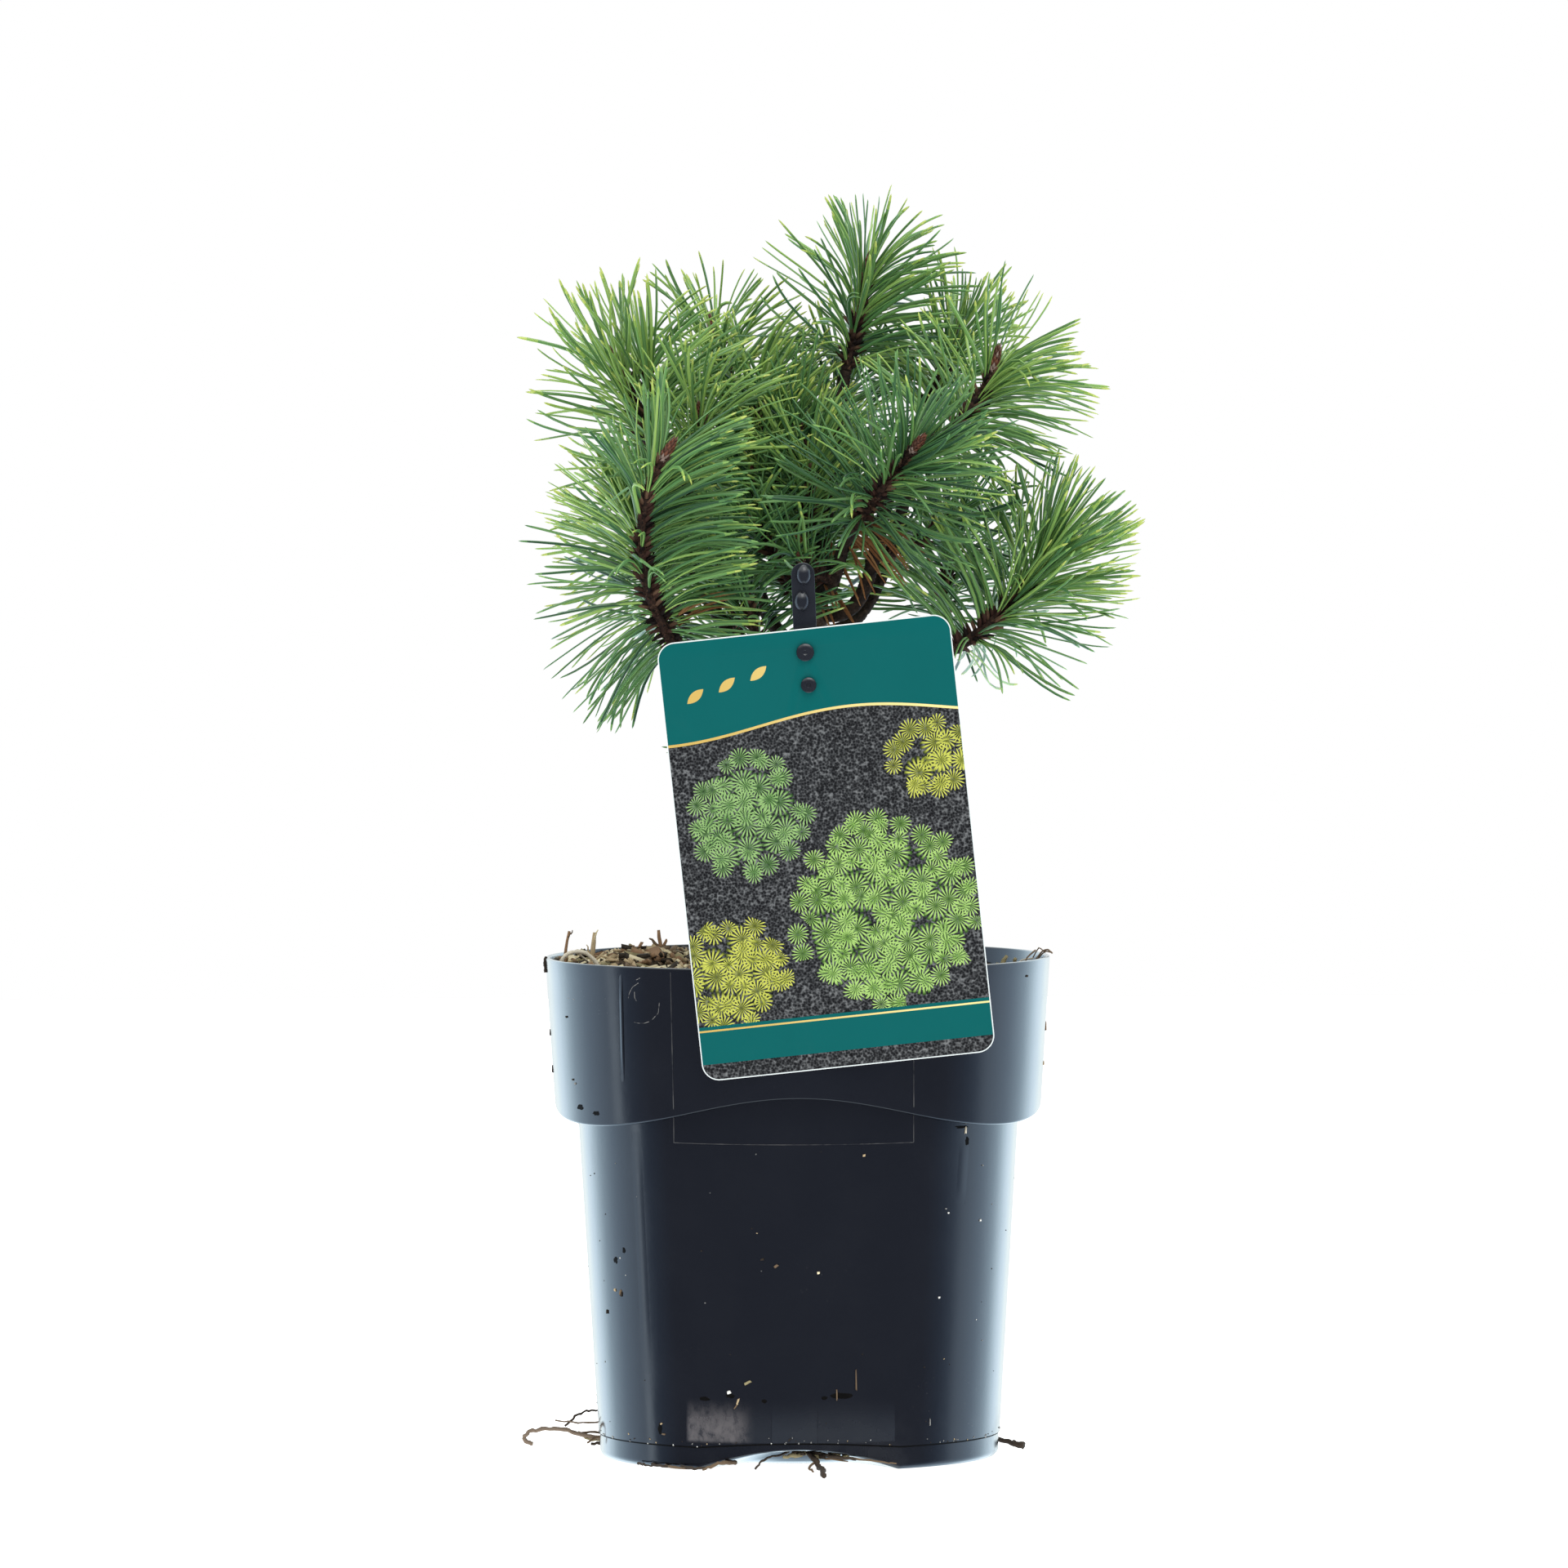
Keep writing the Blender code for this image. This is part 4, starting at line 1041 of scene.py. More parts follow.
# %% Sticks
STICKS = (  # foot, tip, foot radius, tip radius, in millimetres, brown
    ((-89.4, 10, 180), (-86.1, 11, 197), 0.95, 0.5, "chip_red"),
    ((-86.7, 11, 194.6), (-85, 11, 197.4), 0.5, 0.2, "chip_brown"),
    ((-78.2, 5, 179), (-76.5, 5, 196.8), 1.1, 0.75, "chip_tan"),
    ((-77.2, 5, 193.2), (-75.2, 5, 197.8), 0.62, 0.22, "chip_straw"),
    ((-77.8, 5, 187), (-79.6, 5, 192.2), 0.5, 0.2, "chip_tan"),
    ((-51.2, 10, 185), (-52.4, 10, 197.4), 1.35, 0.62, "chip_red"),
    ((-51.8, 10, 190.4), (-56, 10, 194.2), 0.85, 0.3, "chip_brown"),
    ((-50.9, 10, 189), (-49.5, 10, 194), 0.95, 0.35, "chip_red"),
    ((-66, 7, 185), (-69, 5, 190.8), 0.9, 0.3, "chip_straw"),
    ((-44.5, 14, 182), (-42, 15, 190.4), 1, 0.3, "chip_tan"),
    ((76.6, 14, 182.4), (79.2, 14, 187), 1.1, 0.8, "chip_olive"),
    ((80.8, 16, 182), (82.6, 16, 186), 0.95, 0.6, "chip_olive"),
)
LOOPS = (  # radius, brown, then places along a thin root, in millimetres
    (0.8, "root_pale", (-89.2, -24, 184), (-88, -25, 188.6), (-86, -25, 190.5), (-82.6, -25, 191.3),
     (-79.4, -25, 190.7), (-76.2, -25, 188), (-74.2, -25, 184.6)),
    (0.35, "root_pale", (-83, -25, 191), (-80.4, -22, 188.8), (-77, -20, 186)),
    (0.45, "chip_tan", (-80, -10, 184), (-74, -8, 188.6), (-67, -9, 186.4), (-62, -12, 184)),
    (0.38, "root_grey", (84.4, -6, 182), (86.4, -6, 187.4), (89.6, -6, 190.2)),
    (0.3, "root_pale", (80, 0, 182.5), (84.4, -2, 186.2), (88.6, -3, 187)),
    (0.34, "root_grey", (89.8, 4, 186), (92.2, 3, 189.2), (94.2, 1, 190), (96, 0, 188.6)),
    (0.26, "chip_brown", (90.4, 0, 186.4), (93, -2, 189.4), (95.6, -3, 189.2)),
    (0.26, "root_grey", (88.6, 8, 186.2), (91, 6, 190.4), (93.4, 5, 188.6)),
    (0.72, "chip_dark", (-94.7, -5, 188.2), (-95.1, -6, 186), (-94.9, -6, 184.2), (-94.9, -6, 182.4)),
)


print("%d sticks, %d thin roots" % (len(STICKS), len(LOOPS)))


# %% Plant the sticks
def plant_sticks():
    dice = random.Random(8)
    heap = Heap()
    for foot, tip, thick, thin, brown in STICKS:
        foot, tip = in_mm(foot, tip)
        spots = []
        for step in range(6):
            wobble = jitter(dice, 0.35) * MM
            spots.append(foot.lerp(tip, step / 5.0) + wobble * (1.0 if 0 < step < 5 else 0.0))
        widths = [blend(thick, thin, (step / 5.0) ** 1.3) for step in range(6)]
        radii = [width * dice.uniform(0.8, 1.15) * MM for width in widths]
        strand(heap, spots, radii, 5, TONE[brown])
    for thick, brown, *places in LOOPS:
        spots = in_mm(*places)
        fine = []
        for number in range(len(spots) - 1):
            before = spots[max(number - 1, 0)]
            after = spots[min(number + 2, len(spots) - 1)]
            for step in range(4):
                share = step / 4.0
                leaving, coming = spots[number + 1] - before, after - spots[number]
                sway = (leaving * (1.0 - share) - coming * share) * (share * (1.0 - share) * 0.25)
                fine.append(spots[number].lerp(spots[number + 1], share) + sway)
        fine.append(spots[-1])
        strand(heap, fine, [thick * MM * (0.8 + 0.4 * dice.random()) for _ in fine], 5, TONE[brown])
    make_piece("soil_sticks", heap, browns)


plant_sticks()

# %% [markdown]
# ## The limbs' rule
# The trunk, the boughs and the stems are smooth curves through four points each, drawn by the
# same few functions as the solids, so the fine bark lies where they are and the needles grow
# on from them. Short finer twigs stand on the boughs inside the crown, and their needles close
# the gaps between the big shoots. Their needles are dealt dark greens as painted shade, and
# those on the few sunlit twigs pale greens as painted light.

# %% Curves of the plant
TRUNK_CURVE = in_mm((-2, 2, 182.8), (-1, 1, 215), (3, 2, 275), (9.5, 0, 335))
TRUNK_FORK = TRUNK_CURVE[3]
TRUNK_RADIUS_FLARE = 9.0 * MM
TRUNK_RADIUS_LOW = 5.6 * MM
TRUNK_RADIUS_HIGH = 4.1 * MM
FLARE_SHARE = 0.16
SHOOTS = (  # name, height on the trunk, foot, tip, belly, twigs, longest needle, in millimetres
    ("front_left", 262, (-43, -45, 303), (-49, -60, 377), (-17, -8, 0), 0, 50),
    ("right_low", 254, (58, -13, 303), (95, -21, 340), (4, 0, -3), 0, 54),
    ("back_left_low", 270, (-44, 44, 314), (-60, 59, 357), (-4, 2, 0), 1, 48),
    ("right_back_low", 278, (54, 46, 312), (57, 52, 349), (3, 2, 0), 0, 44),
    ("back_low", 286, (4, 58, 320), (6, 84, 362), (0, 6, 0), 1, 45),
    ("left_high", 296, (-50, 0, 366), (-67, 2, 410), (1, 0, 0), 1, 56),
    ("back_left_high", 304, (-24, 40, 388), (-31, 49, 422), (0, 2, 0), 0, 47),
    ("right_back_high", 310, (50, 34, 391), (61, 40, 422), (0, 0, 0), 0, 43),
    ("right_high", 317, (47, -15, 378), (74, -19, 410), (5, 0, -3), 0, 52),
    ("front_middle", 325, (22, -31, 351), (44, -62, 380), (0, 0, 0), 0, 51),
    ("back_high", 329, (14, 40, 372), (19, 62, 406), (0, 2, 0), 0, 44),
    ("middle", 321, (-6, 14, 352), (-8, 19, 382), (0, 0, 0), 0, 50),
    ("top", 335, (19, 20, 408), (27, 22, 445), (0, 0, 0), 0, 50),
)
BOUGH_LEVEL_RUN = 0.36
BOUGH_RISE_RUN = 0.35
BELLY_PULL = 0.9
TWIG_START = 0.45
TWIG_LENGTH = 0.5
TWIG_SPREAD = radians(48.0)
TWIG_AHEAD = 0.5
TWIG_BELLY = 0.1
GROWTH_SEED = 20
SPUR_BELLY = 0.12
# A sunlit twig's needles are dealt pale greens, as painted light; the others dark greens, as painted shade.
SPURS = (  # bough, share of it where the finer twig starts, tip in millimetres, sunlit
    ("middle", 0.15, (-15, -14, 350), False),
    ("middle", 0.60, (-16, 4, 368), False),
    ("front_left", 0.12, (-21, -26, 328), False),
    ("front_middle", 0.35, (2, -33, 338), False),
    ("right_high", 0.45, (56, 2, 352), False),
    ("top", 0.35, (1, 6, 388), False),
    ("back_high", 0.50, (-4, 30, 366), False),
    ("left_high", 0.30, (-30, -18, 338), False),
    ("left_high", 0.86, (-36, -10, 392), True),
    ("middle", 0.90, (-13, 22, 402), True),
    ("middle", 0.40, (6, -6, 372), True),
)

print("%d shoots, %d finer twigs" % (len(SHOOTS), len(SPURS)))


# %% Boughs and stems
def bezier(points, share):
    """A point and a direction on the cubic curve of four points."""
    a, b, c, d = points
    rest = 1.0 - share
    spot = a * rest**3 + b * (3.0 * rest * rest * share) + c * (3.0 * rest * share**2) + d * share**3
    way = (b - a) * (rest * rest) + (c - b) * (2.0 * rest * share) + (d - c) * (share * share)
    return spot, way.normalized()


def trunk_radius(share):
    flare = (TRUNK_RADIUS_FLARE - TRUNK_RADIUS_LOW) * max(0.0, 1.0 - share / FLARE_SHARE) ** 2
    return blend(TRUNK_RADIUS_LOW, TRUNK_RADIUS_HIGH, share) + flare


def trunk_at(height):
    """The trunk's middle, direction and radius at a height."""
    low, high = 0.0, 1.0
    for _ in range(30):
        share = (low + high) / 2.0
        if bezier(TRUNK_CURVE, share)[0].z < height:
            low = share
        else:
            high = share
    return (*bezier(TRUNK_CURVE, share), trunk_radius(share))


def bough_curve(height, foot, toward):
    """A bough, from inside the trunk to the shoot's foot."""
    spot, way, radius = trunk_at(height)
    if height >= TRUNK_FORK.z - 1e-5:
        start, out = TRUNK_FORK, way
    else:
        out = foot - spot
        out = (out - way * out.dot(way)).normalized()
        start = spot + out * radius
    reach = (foot - start).length
    return (start, start + out * (reach * BOUGH_LEVEL_RUN), foot - toward * (reach * BOUGH_RISE_RUN), foot)


def stem_curve(foot, tip, belly):
    """A shoot's stem: it leaves its foot along the belly's side and turns up into its tip."""
    line = tip - foot
    push = belly * BELLY_PULL
    return (foot, foot + line * 0.3 + push, foot + line * 0.7 + push, tip)


def side_frame(way):
    """Two directions square to the way and to each other."""
    side = way.cross(UP)
    if side.length < 0.1:
        side = way.cross(Vector((0.0, 1.0, 0.0)))
    side.normalize()
    return side, way.cross(side).normalized()


def shoot_stems(foot, tip, belly, twigs, dice):
    """The shoot's own stem and its side twigs, each as four control points."""
    stems = [stem_curve(foot, tip, belly)]
    for number in range(twigs):
        start, way = bezier(stems[0], TWIG_START)
        side, other = side_frame(way)
        out = spoke(side, other, dice.uniform(0.0, tau) + number * pi)
        aim = spoke(way, out, TWIG_SPREAD)
        reach = (tip - foot).length * TWIG_LENGTH
        end = start + (aim * (1.0 - TWIG_AHEAD) + way * TWIG_AHEAD) * reach
        stems.append(stem_curve(start, end, out * (reach * TWIG_BELLY)))
    return stems


def draw_limbs():
    """Every bough's curve and every shoot's stems, in the order of the table."""
    dice = random.Random(GROWTH_SEED)
    boughs, stems = {}, {}
    for name, height, foot, tip, belly, twigs, _ in SHOOTS:
        foot, tip, belly = in_mm(foot, tip, belly)
        stems[name] = shoot_stems(foot, tip, belly, twigs, dice)
        boughs[name] = bough_curve(height * MM, foot, bezier(stems[name][0], 0.0)[1])
    return boughs, stems


def draw_spurs():
    """The finer twigs: each joins its bough's shoot, and starts at a share of the bough."""
    made = []
    for name, share, tip, sunlit in SPURS:
        start, way = bezier(boughs[name], share)
        tip = Vector(tip) * MM
        out = tip - start
        out -= way * out.dot(way)
        spur = stem_curve(start, tip, out.normalized() * (SPUR_BELLY * (tip - start).length))
        stems[name].append(spur)
        made.append((spur, sunlit))
    return made


boughs, stems = draw_limbs()
spurs = draw_spurs()
print("limbs: 1 trunk, %d boughs, %d stems" % (len(boughs), sum(len(s) for s in stems.values())))

# %% [markdown]
# ## Bark with relief
# A young pine's trunk is grey-brown and splits into small plates; its boughs and stems are
# darker and rough with the scars of old needles. The boughs' bark is darkened further, as
# painted shade from the crown they stand in. Real relief beats a bump map here, because
# the outline of a thin limb shows it. Each limb is a tube of many rings, its skin pushed in and
# out by cells of noise, larger on the trunk and finer on the stems.

# %% Limb skin
RING_STEP = 0.9 * MM
TRUNK_PLATES = (3.4 * MM, 0.75 * MM, 0, 34)  # their size and depth, the finish, the tube's sides
BOUGH_PLATES = (2.3 * MM, 0.5 * MM, 1, 18)
STEM_PLATES = (1.5 * MM, 0.42 * MM, 2, 16)
TRUNK_SUNK = 3.0 * MM


def plate_relief(spot, size, depth):
    """Plates with cracks between them: deep where two cells of noise are equally near."""
    near = noise.voronoi(Vector((spot.x, spot.y, spot.z * 0.5)) / size)[0]
    crack = 1.0 - min((near[1] - near[0]) / 0.22, 1.0)
    rough = noise.noise(spot / (size * 0.35))
    return depth * (0.35 * rough - crack * crack)


def limb_skin(heap, curve, radius_at, plate, depth, finish, sides):
    """A tube along a curve, with relief and with its ends closed."""
    coarse = [bezier(curve, n / 12.0)[0] for n in range(13)]
    rings = max(int(sum((b - a).length for a, b in zip(coarse, coarse[1:])) / RING_STEP), 8)
    shares = [ring / rings for ring in range(rings + 1)]
    spots, ways = zip(*(bezier(curve, share) for share in shares))
    points = []
    for share, spot, (side, other) in zip(shares, spots, carried(ways)):
        radius = radius_at(share)
        for corner in range(sides):
            out = spoke(side, other, tau * corner / sides)
            skin = spot + out * radius
            points.append(skin + out * plate_relief(skin, plate, depth))
    heap.add(points, tube_faces(rings + 1, sides), finish)


def bark_finish(name, dark, middle, light, patch):
    bark = Finish(name, specular_ior_level=0.25)
    tone = bark.grain(patch, 4.0, 0.65)
    bark.set(base_color=bark.ramp(tone, ((0.32, dark), (0.52, middle), (0.72, light))))
    bark.set(roughness=0.78 + tone * 0.2)
    bark.relief(bark.grain(1500.0, 4.0), 0.5 * MM)
    return bark


BOUGH_RADIUS_FOOT = 2.9 * MM
BOUGH_RADIUS_TIP = 2.3 * MM
STEM_RADIUS_FOOT = 2.1 * MM
STEM_RADIUS_TIP = 1.5 * MM


def bough_radius(share):
    return blend(BOUGH_RADIUS_FOOT, BOUGH_RADIUS_TIP, share)


def stem_radius(share):
    return blend(STEM_RADIUS_FOOT, STEM_RADIUS_TIP, share)


def clad_limbs():
    heap = Heap()
    sunk = [TRUNK_CURVE[0] - UP * TRUNK_SUNK] + TRUNK_CURVE[1:]
    limb_skin(heap, sunk, trunk_radius, *TRUNK_PLATES)
    for name in boughs:
        limb_skin(heap, boughs[name], bough_radius, *BOUGH_PLATES)
        for stem in stems[name]:
            limb_skin(heap, stem, stem_radius, *STEM_PLATES)
    finishes = [
        bark_finish("trunk_bark", (0.022, 0.014, 0.010), (0.062, 0.041, 0.030), (0.140, 0.102, 0.078), 260.0),
        # The boughs' bark is darker than its own colour: painted shade from the crown around it.
        bark_finish("bough_bark_with_painted_shade", (0.009, 0.006, 0.005), (0.024, 0.015, 0.011), (0.060, 0.039, 0.028), 380.0),
        bark_finish("stem_bark", (0.009, 0.005, 0.004), (0.030, 0.015, 0.010), (0.085, 0.044, 0.028), 520.0),
    ]
    replaced = ["trunk"] + ["bough_" + name for name in boughs]
    make_piece("limb_bark", heap, finishes, replaced)


clad_limbs()

# %% [markdown]
# ## Scales on the stems
# Small dry scales stand all along the stems and the outer boughs, and overlap like tiles on
# each winter bud. A scale is a thin closed wedge: a wide root sunk into the stem and a point
# that stands away from it. On the buds the wedges come in two reddish browns and a pale grey.

# %% Wedges, and the scales on stems and buds
SCALE_STEP = 0.36 * MM
BOUGH_SCALE_STEP = 0.62 * MM
BOUGH_SCALES_FROM = 0.3
GOLDEN_ANGLE = pi * (3.0 - sqrt(5.0))
BUD_RADIUS = 1.95 * MM
BUD_LENGTH = 11.0 * MM
BUD_SINK = 2.6 * MM
BUD_SCALES = 46
WEDGE_FACES = ((0, 1, 3, 2), (0, 2, 4), (2, 3, 4), (3, 1, 4), (1, 0, 4))
SCALE_BROWNS = {
    "scale_dark": (0.011, 0.006, 0.005),
    "scale_red": (0.046, 0.019, 0.013),
    "scale_tan": (0.112, 0.060, 0.036),
    "bud_red": (0.190, 0.072, 0.045),
    "bud_brown": (0.115, 0.052, 0.036),
    "bud_resin": (0.300, 0.215, 0.185),
}


def wedge(heap, root, way, out, width, length, thick, finish):
    """A scale from its root along a way, lying against what is behind it."""
    side = way.cross(out).normalized()
    half = side * (width / 2.0)
    points = [root - half - out * thick, root + half - out * thick]
    points += [root - half + out * thick * 0.5, root + half + out * thick * 0.5, root + way * length]
    heap.add(points, WEDGE_FACES, finish)


def bud_radius(share):
    """A bud's outline from foot to tip: swollen low down, then drawn out to a point."""
    return BUD_RADIUS * (0.72 + 0.9 * share) * (1.0 - share**2.4) if share < 1.0 else 0.0


def build_bud(heap, tip, way, size, dice):
    foot = tip - way * BUD_SINK
    length = BUD_LENGTH * size
    spots = [foot + way * (length * n / 8.0) for n in range(9)]
    radii = [max(bud_radius(n / 8.0) * size * 0.86, 0.12 * MM) for n in range(9)]
    strand(heap, spots, radii, 8, 4)
    side, other = side_frame(way)
    for number in range(BUD_SCALES):
        share = 0.04 + 0.86 * number / BUD_SCALES
        out = spoke(side, other, number * GOLDEN_ANGLE)
        skin = foot + way * (length * share) + out * (bud_radius(share) * size * 0.84)
        lean = (way * 1.0 + out * (0.42 - 0.55 * share)).normalized()
        wide = 1.75 * MM * size * (1.15 - share * 0.7)
        tone = 5 if share < 0.22 or dice.random() < 0.14 else dice.choice((3, 3, 4))
        wedge(heap, skin, lean, out, wide, 2.5 * MM * size, 0.3 * MM, tone)


def scale_limb(heap, curve, first, step, radius_at, weights, dice):
    """Scales in a golden-angle spiral along a limb, from a share of it to its end."""
    count = int((curve[3] - curve[0]).length * (1.0 - first) / step)
    for number in range(count):
        share = first + (0.97 - first) * number / count
        spot, way = bezier(curve, share)
        side, other = side_frame(way)
        out = spoke(side, other, number * GOLDEN_ANGLE + dice.uniform(-0.3, 0.3))
        lean = (way + out * dice.uniform(0.25, 1.1)).normalized()
        size = dice.uniform(1.1, 2.3) * MM
        tone = dice.choices((0, 1, 2), weights)[0]
        wedge(heap, spot + out * radius_at(share) * 0.92, lean, out, size * 0.62, size, 0.25 * MM, tone)


def scale_stems():
    dice = random.Random(31)
    heap = Heap()
    for name in stems:
        scale_limb(heap, boughs[name], BOUGH_SCALES_FROM, BOUGH_SCALE_STEP, bough_radius, (8, 4, 1), dice)
        for stem in stems[name]:
            own = stem is stems[name][0]
            scale_limb(heap, stem, 0.02, SCALE_STEP, stem_radius, (6, 4, 1), dice)
            end, way = bezier(stem, 1.0)
            build_bud(heap, end, way, 1.0 if own else 0.7, dice)
    make_piece("stem_scales", heap, plain_browns(SCALE_BROWNS))


scale_stems()

# %% [markdown]
# ## A pair of needles
# This pine carries its needles two by two, each about 5 cm long, half round, with the flat
# faces towards each other, and yellow-green in its last few millimetres. All are computed
# together with numpy: every needle is a curve of four points, and nine stations along it carry
# a five-cornered section that shrinks to a point.

# %% Needle meshes
NEEDLE_STATIONS = np.array((0.0, 0.10, 0.25, 0.41, 0.57, 0.72, 0.86, 0.935, 0.978))
NEEDLE_WIDTHS = np.array((0.60, 0.86, 1.0, 1.03, 1.02, 1.0, 0.94, 0.84, 0.60))
SECTION = np.array(((-1.0, 0.0), (-0.74, 0.62), (0.0, 0.92), (0.74, 0.62), (1.0, 0.0)))
GREEN_COUNT = 8
FLAT_GREEN = GREEN_COUNT
FRESH_GREEN = GREEN_COUNT + 1
TIP_YELLOW = GREEN_COUNT + 2
FRESH_FROM = 6
TIP_FROM = 7
# How many greens paler the long edges are painted, as a painted highlight.
PAINTED_EDGE_HIGHLIGHT_STEPS = 2
YELLOW_SHARE = 0.68
DULL_TIP_FROM = 4


def curve_points(controls, shares):
    """Points and directions on many cubic curves at once: arrays (curve, share, 3)."""
    a, b, c, d = (controls[:, n, None, :] for n in range(4))
    t = shares[None, :, None]
    rest = 1.0 - t
    points = a * rest**3 + 3.0 * b * rest**2 * t + 3.0 * c * rest * t**2 + d * t**3
    ways = (b - a) * rest**2 + (c - b) * 2.0 * rest * t + (d - c) * t**2
    return points, ways / np.linalg.norm(ways, axis=2, keepdims=True)


def needle_mesh(controls, facing, half_widths, greens, dice):
    """Points, faces and finishes of many needles, from their curves and flat sides.

    A needle's two long edges are painted a paler green than its round back: a painted highlight along its
    sides."""
    count = len(controls)
    points, ways = curve_points(controls, NEEDLE_STATIONS)
    away = -facing[:, None, :] + ways * np.sum(ways * facing[:, None, :], 2, keepdims=True)
    away /= np.linalg.norm(away, axis=2, keepdims=True)
    across = np.cross(ways, away)
    sizes = half_widths[:, None] * NEEDLE_WIDTHS[None, :]
    spans = SECTION[None, None, :, :] * sizes[:, :, None, None]
    points, across, away = (values[:, :, None, :] for values in (points, across, away))
    skin = points + across * spans[..., :1] + away * spans[..., 1:]
    tips = controls[:, 3, :][:, None, :]
    block = np.concatenate([skin.reshape(count, -1, 3), tips], 1)
    stations, corners, per = len(NEEDLE_STATIONS), len(SECTION), block.shape[1]
    last_ring = (stations - 1) * corners
    fan = [[last_ring + corner, last_ring + (corner + 1) % corners, per - 1] for corner in range(corners)]
    pattern = [*tube_faces(stations, corners)[:-2], *fan, list(range(corners))[::-1]]
    faces, tones = [], []
    for number, green in enumerate(greens.tolist()):
        tip = TIP_YELLOW if dice.random() < YELLOW_SHARE else FRESH_GREEN
        if green >= DULL_TIP_FROM:
            tip = green - DULL_TIP_FROM + 1
        # The faces along both long edges get a paler green: a painted highlight.
        edge = max(green - PAINTED_EDGE_HIGHLIGHT_STEPS, 0)
        leaf = [edge, green, green, edge, FLAT_GREEN]
        turning = [FRESH_GREEN] * corners if tip == TIP_YELLOW else leaf
        tones += leaf * FRESH_FROM + turning * (TIP_FROM - FRESH_FROM)
        tones += [tip] * (corners * (stations - TIP_FROM)) + [green]
        faces += [[corner + number * per for corner in face] for face in pattern]
    return block.reshape(-1, 3), faces, tones


print("one needle has %d triangles" % ((len(NEEDLE_STATIONS) - 1) * 10 + 5 + 3))

# %% [markdown]
# ## Where the needles stand
# The rule is the solids' own: pairs in a golden-angle spiral up each stem, wide open at its foot
# and closing to a brush round the bud. Here they stand closer, each with its own bend. A crown
# grows unevenly, so each shoot has its own spacing and is combed its own way; the lowest needles
# hang, those that face the eye lean along their stem, and the older ones, low on each stem and
# inside the crown, are darker: partly their age, partly painted shade. Some sides are thin, and
# old stems have shed needles where it shows. A pair that would hang too low, run into the label,
# pierce another limb or hide a winter bud is turned and tried again, then left out.

# %% The needles' rule
SPUR_PAIR_STEP = 0.90 * MM
SUNLIT_PAIR_STEP = 0.62 * MM
NEEDLE_SHORTEST = 0.76
TIP_SHORTENS_FROM = 0.62
TIP_SHORTENS_BY = 0.17
SPUR_NEEDLE = 0.95
NEEDLE_FIRST = 0.03
NEEDLE_LAST = 0.99
ROOT_SUNK = 0.75  # how far out from the stem's middle a needle starts, as a share of its radius
HALF_WIDTH = 0.60 * MM
PAIR_OPENING = 0.10
SPREAD_FOOT = radians(106.0)
SPREAD_TIP = radians(30.0)
SPREAD_POWER = 1.8
SPREAD_JITTER = radians(9.5)
FIRST_MIX = (0.66, 0.34)  # of its aim and of the stem's way, in the way a needle leaves the stem
END_MIX = (0.30, 0.38, 0.32)  # of its first way, aim and last way, in where its tip lies
HANDLES = (0.34, 0.36)  # how long its curve's two handles are
NEEDLE_LIFT = 0.08
NEAR_LIFT = 0.70
TIP_RISE = (-0.20, 0.45)
DRIFT_SIZE = 12.0 * MM
DRIFT_PULL = 0.34
SWAY = 0.19
NEEDLE_TRIES = 5
RETRY_TURN = 0.5
TURN_JITTER = 0.3
OLD_AND_SHADED_BELOW = 0.45
OLD_AND_SHADED_CHANCE = 0.65
print("needles open from %.0f to %.0f degrees" % (degrees(SPREAD_TIP), degrees(SPREAD_FOOT)))

# %% How the shoots differ
COMB_FROM = 0.10
COMB_START = 0.6
COMB_END = 1.5
DROOP = 0.5
HANG_BELOW = 0.26
NEAR_SIDE = -0.55
STRAY_CHANCE = 0.04
BACK_GREENS = (1, 2, 3, 4, 3, 3, 2, 1)
# The step between pairs in millimetres and how often each green is dealt, from yellowish to
# bluish and then dark. Then the way the needles are combed, where they don't point against it,
# the share of the stem above which none points far down, the pull on the lowest ones, the share
# below which the near side has shed some, and how many.
USUAL = ((0, 0, 0), 0.12, 0.0, 0.25, 0.45)
Habit = namedtuple("Habit", "step greens comb droop_above hang shed_below shed_chance", defaults=USUAL)
# The high shoots at the left are dealt the palest greens: partly their own colour, partly painted light.
HABITS = {
    "front_left": Habit(0.31, (1, 2, 4, 4, 4, 4, 4, 3), (0.55, 0, -0.10), 0.40, 1.0, 0.74, 0.76),
    "right_low": Habit(0.30, (2, 4, 5, 4, 3, 2, 1, 0), (0.26, 0, 0.10), 0.30, 0.5, 0.36, 0.70),
    "back_left_low": Habit(0.38, (7, 6, 4, 2, 1, 0, 0, 0), (0, 0, 0), 0.45, 0.9),
    "right_back_low": Habit(0.44, BACK_GREENS),
    "back_low": Habit(0.42, BACK_GREENS),
    "left_high": Habit(0.55, (12, 6, 3, 1, 0, 0, 0, 0), (0.55, 0, -0.02)),
    "back_left_high": Habit(0.54, (10, 6, 3, 1, 0, 0, 0, 0), (0.30, 0, 0)),
    "right_back_high": Habit(0.34, (3, 5, 4, 2, 1, 1, 0, 0)),
    "right_high": Habit(0.34, (3, 5, 4, 3, 2, 1, 1, 0), (0.28, 0, -0.20)),
    "front_middle": Habit(0.38, (0, 1, 1, 2, 3, 5, 7, 9), (0.20, 0, 0), 0.30, 0.0, 0.50, 0.72),
    "back_high": Habit(0.60, BACK_GREENS),
    "middle": Habit(0.42, (6, 6, 4, 2, 1, 1, 1, 0), (0.50, 0, 0.22)),
    "top": Habit(0.34, (2, 4, 4, 3, 3, 2, 1, 0), (0.34, 0, -0.10)),
}
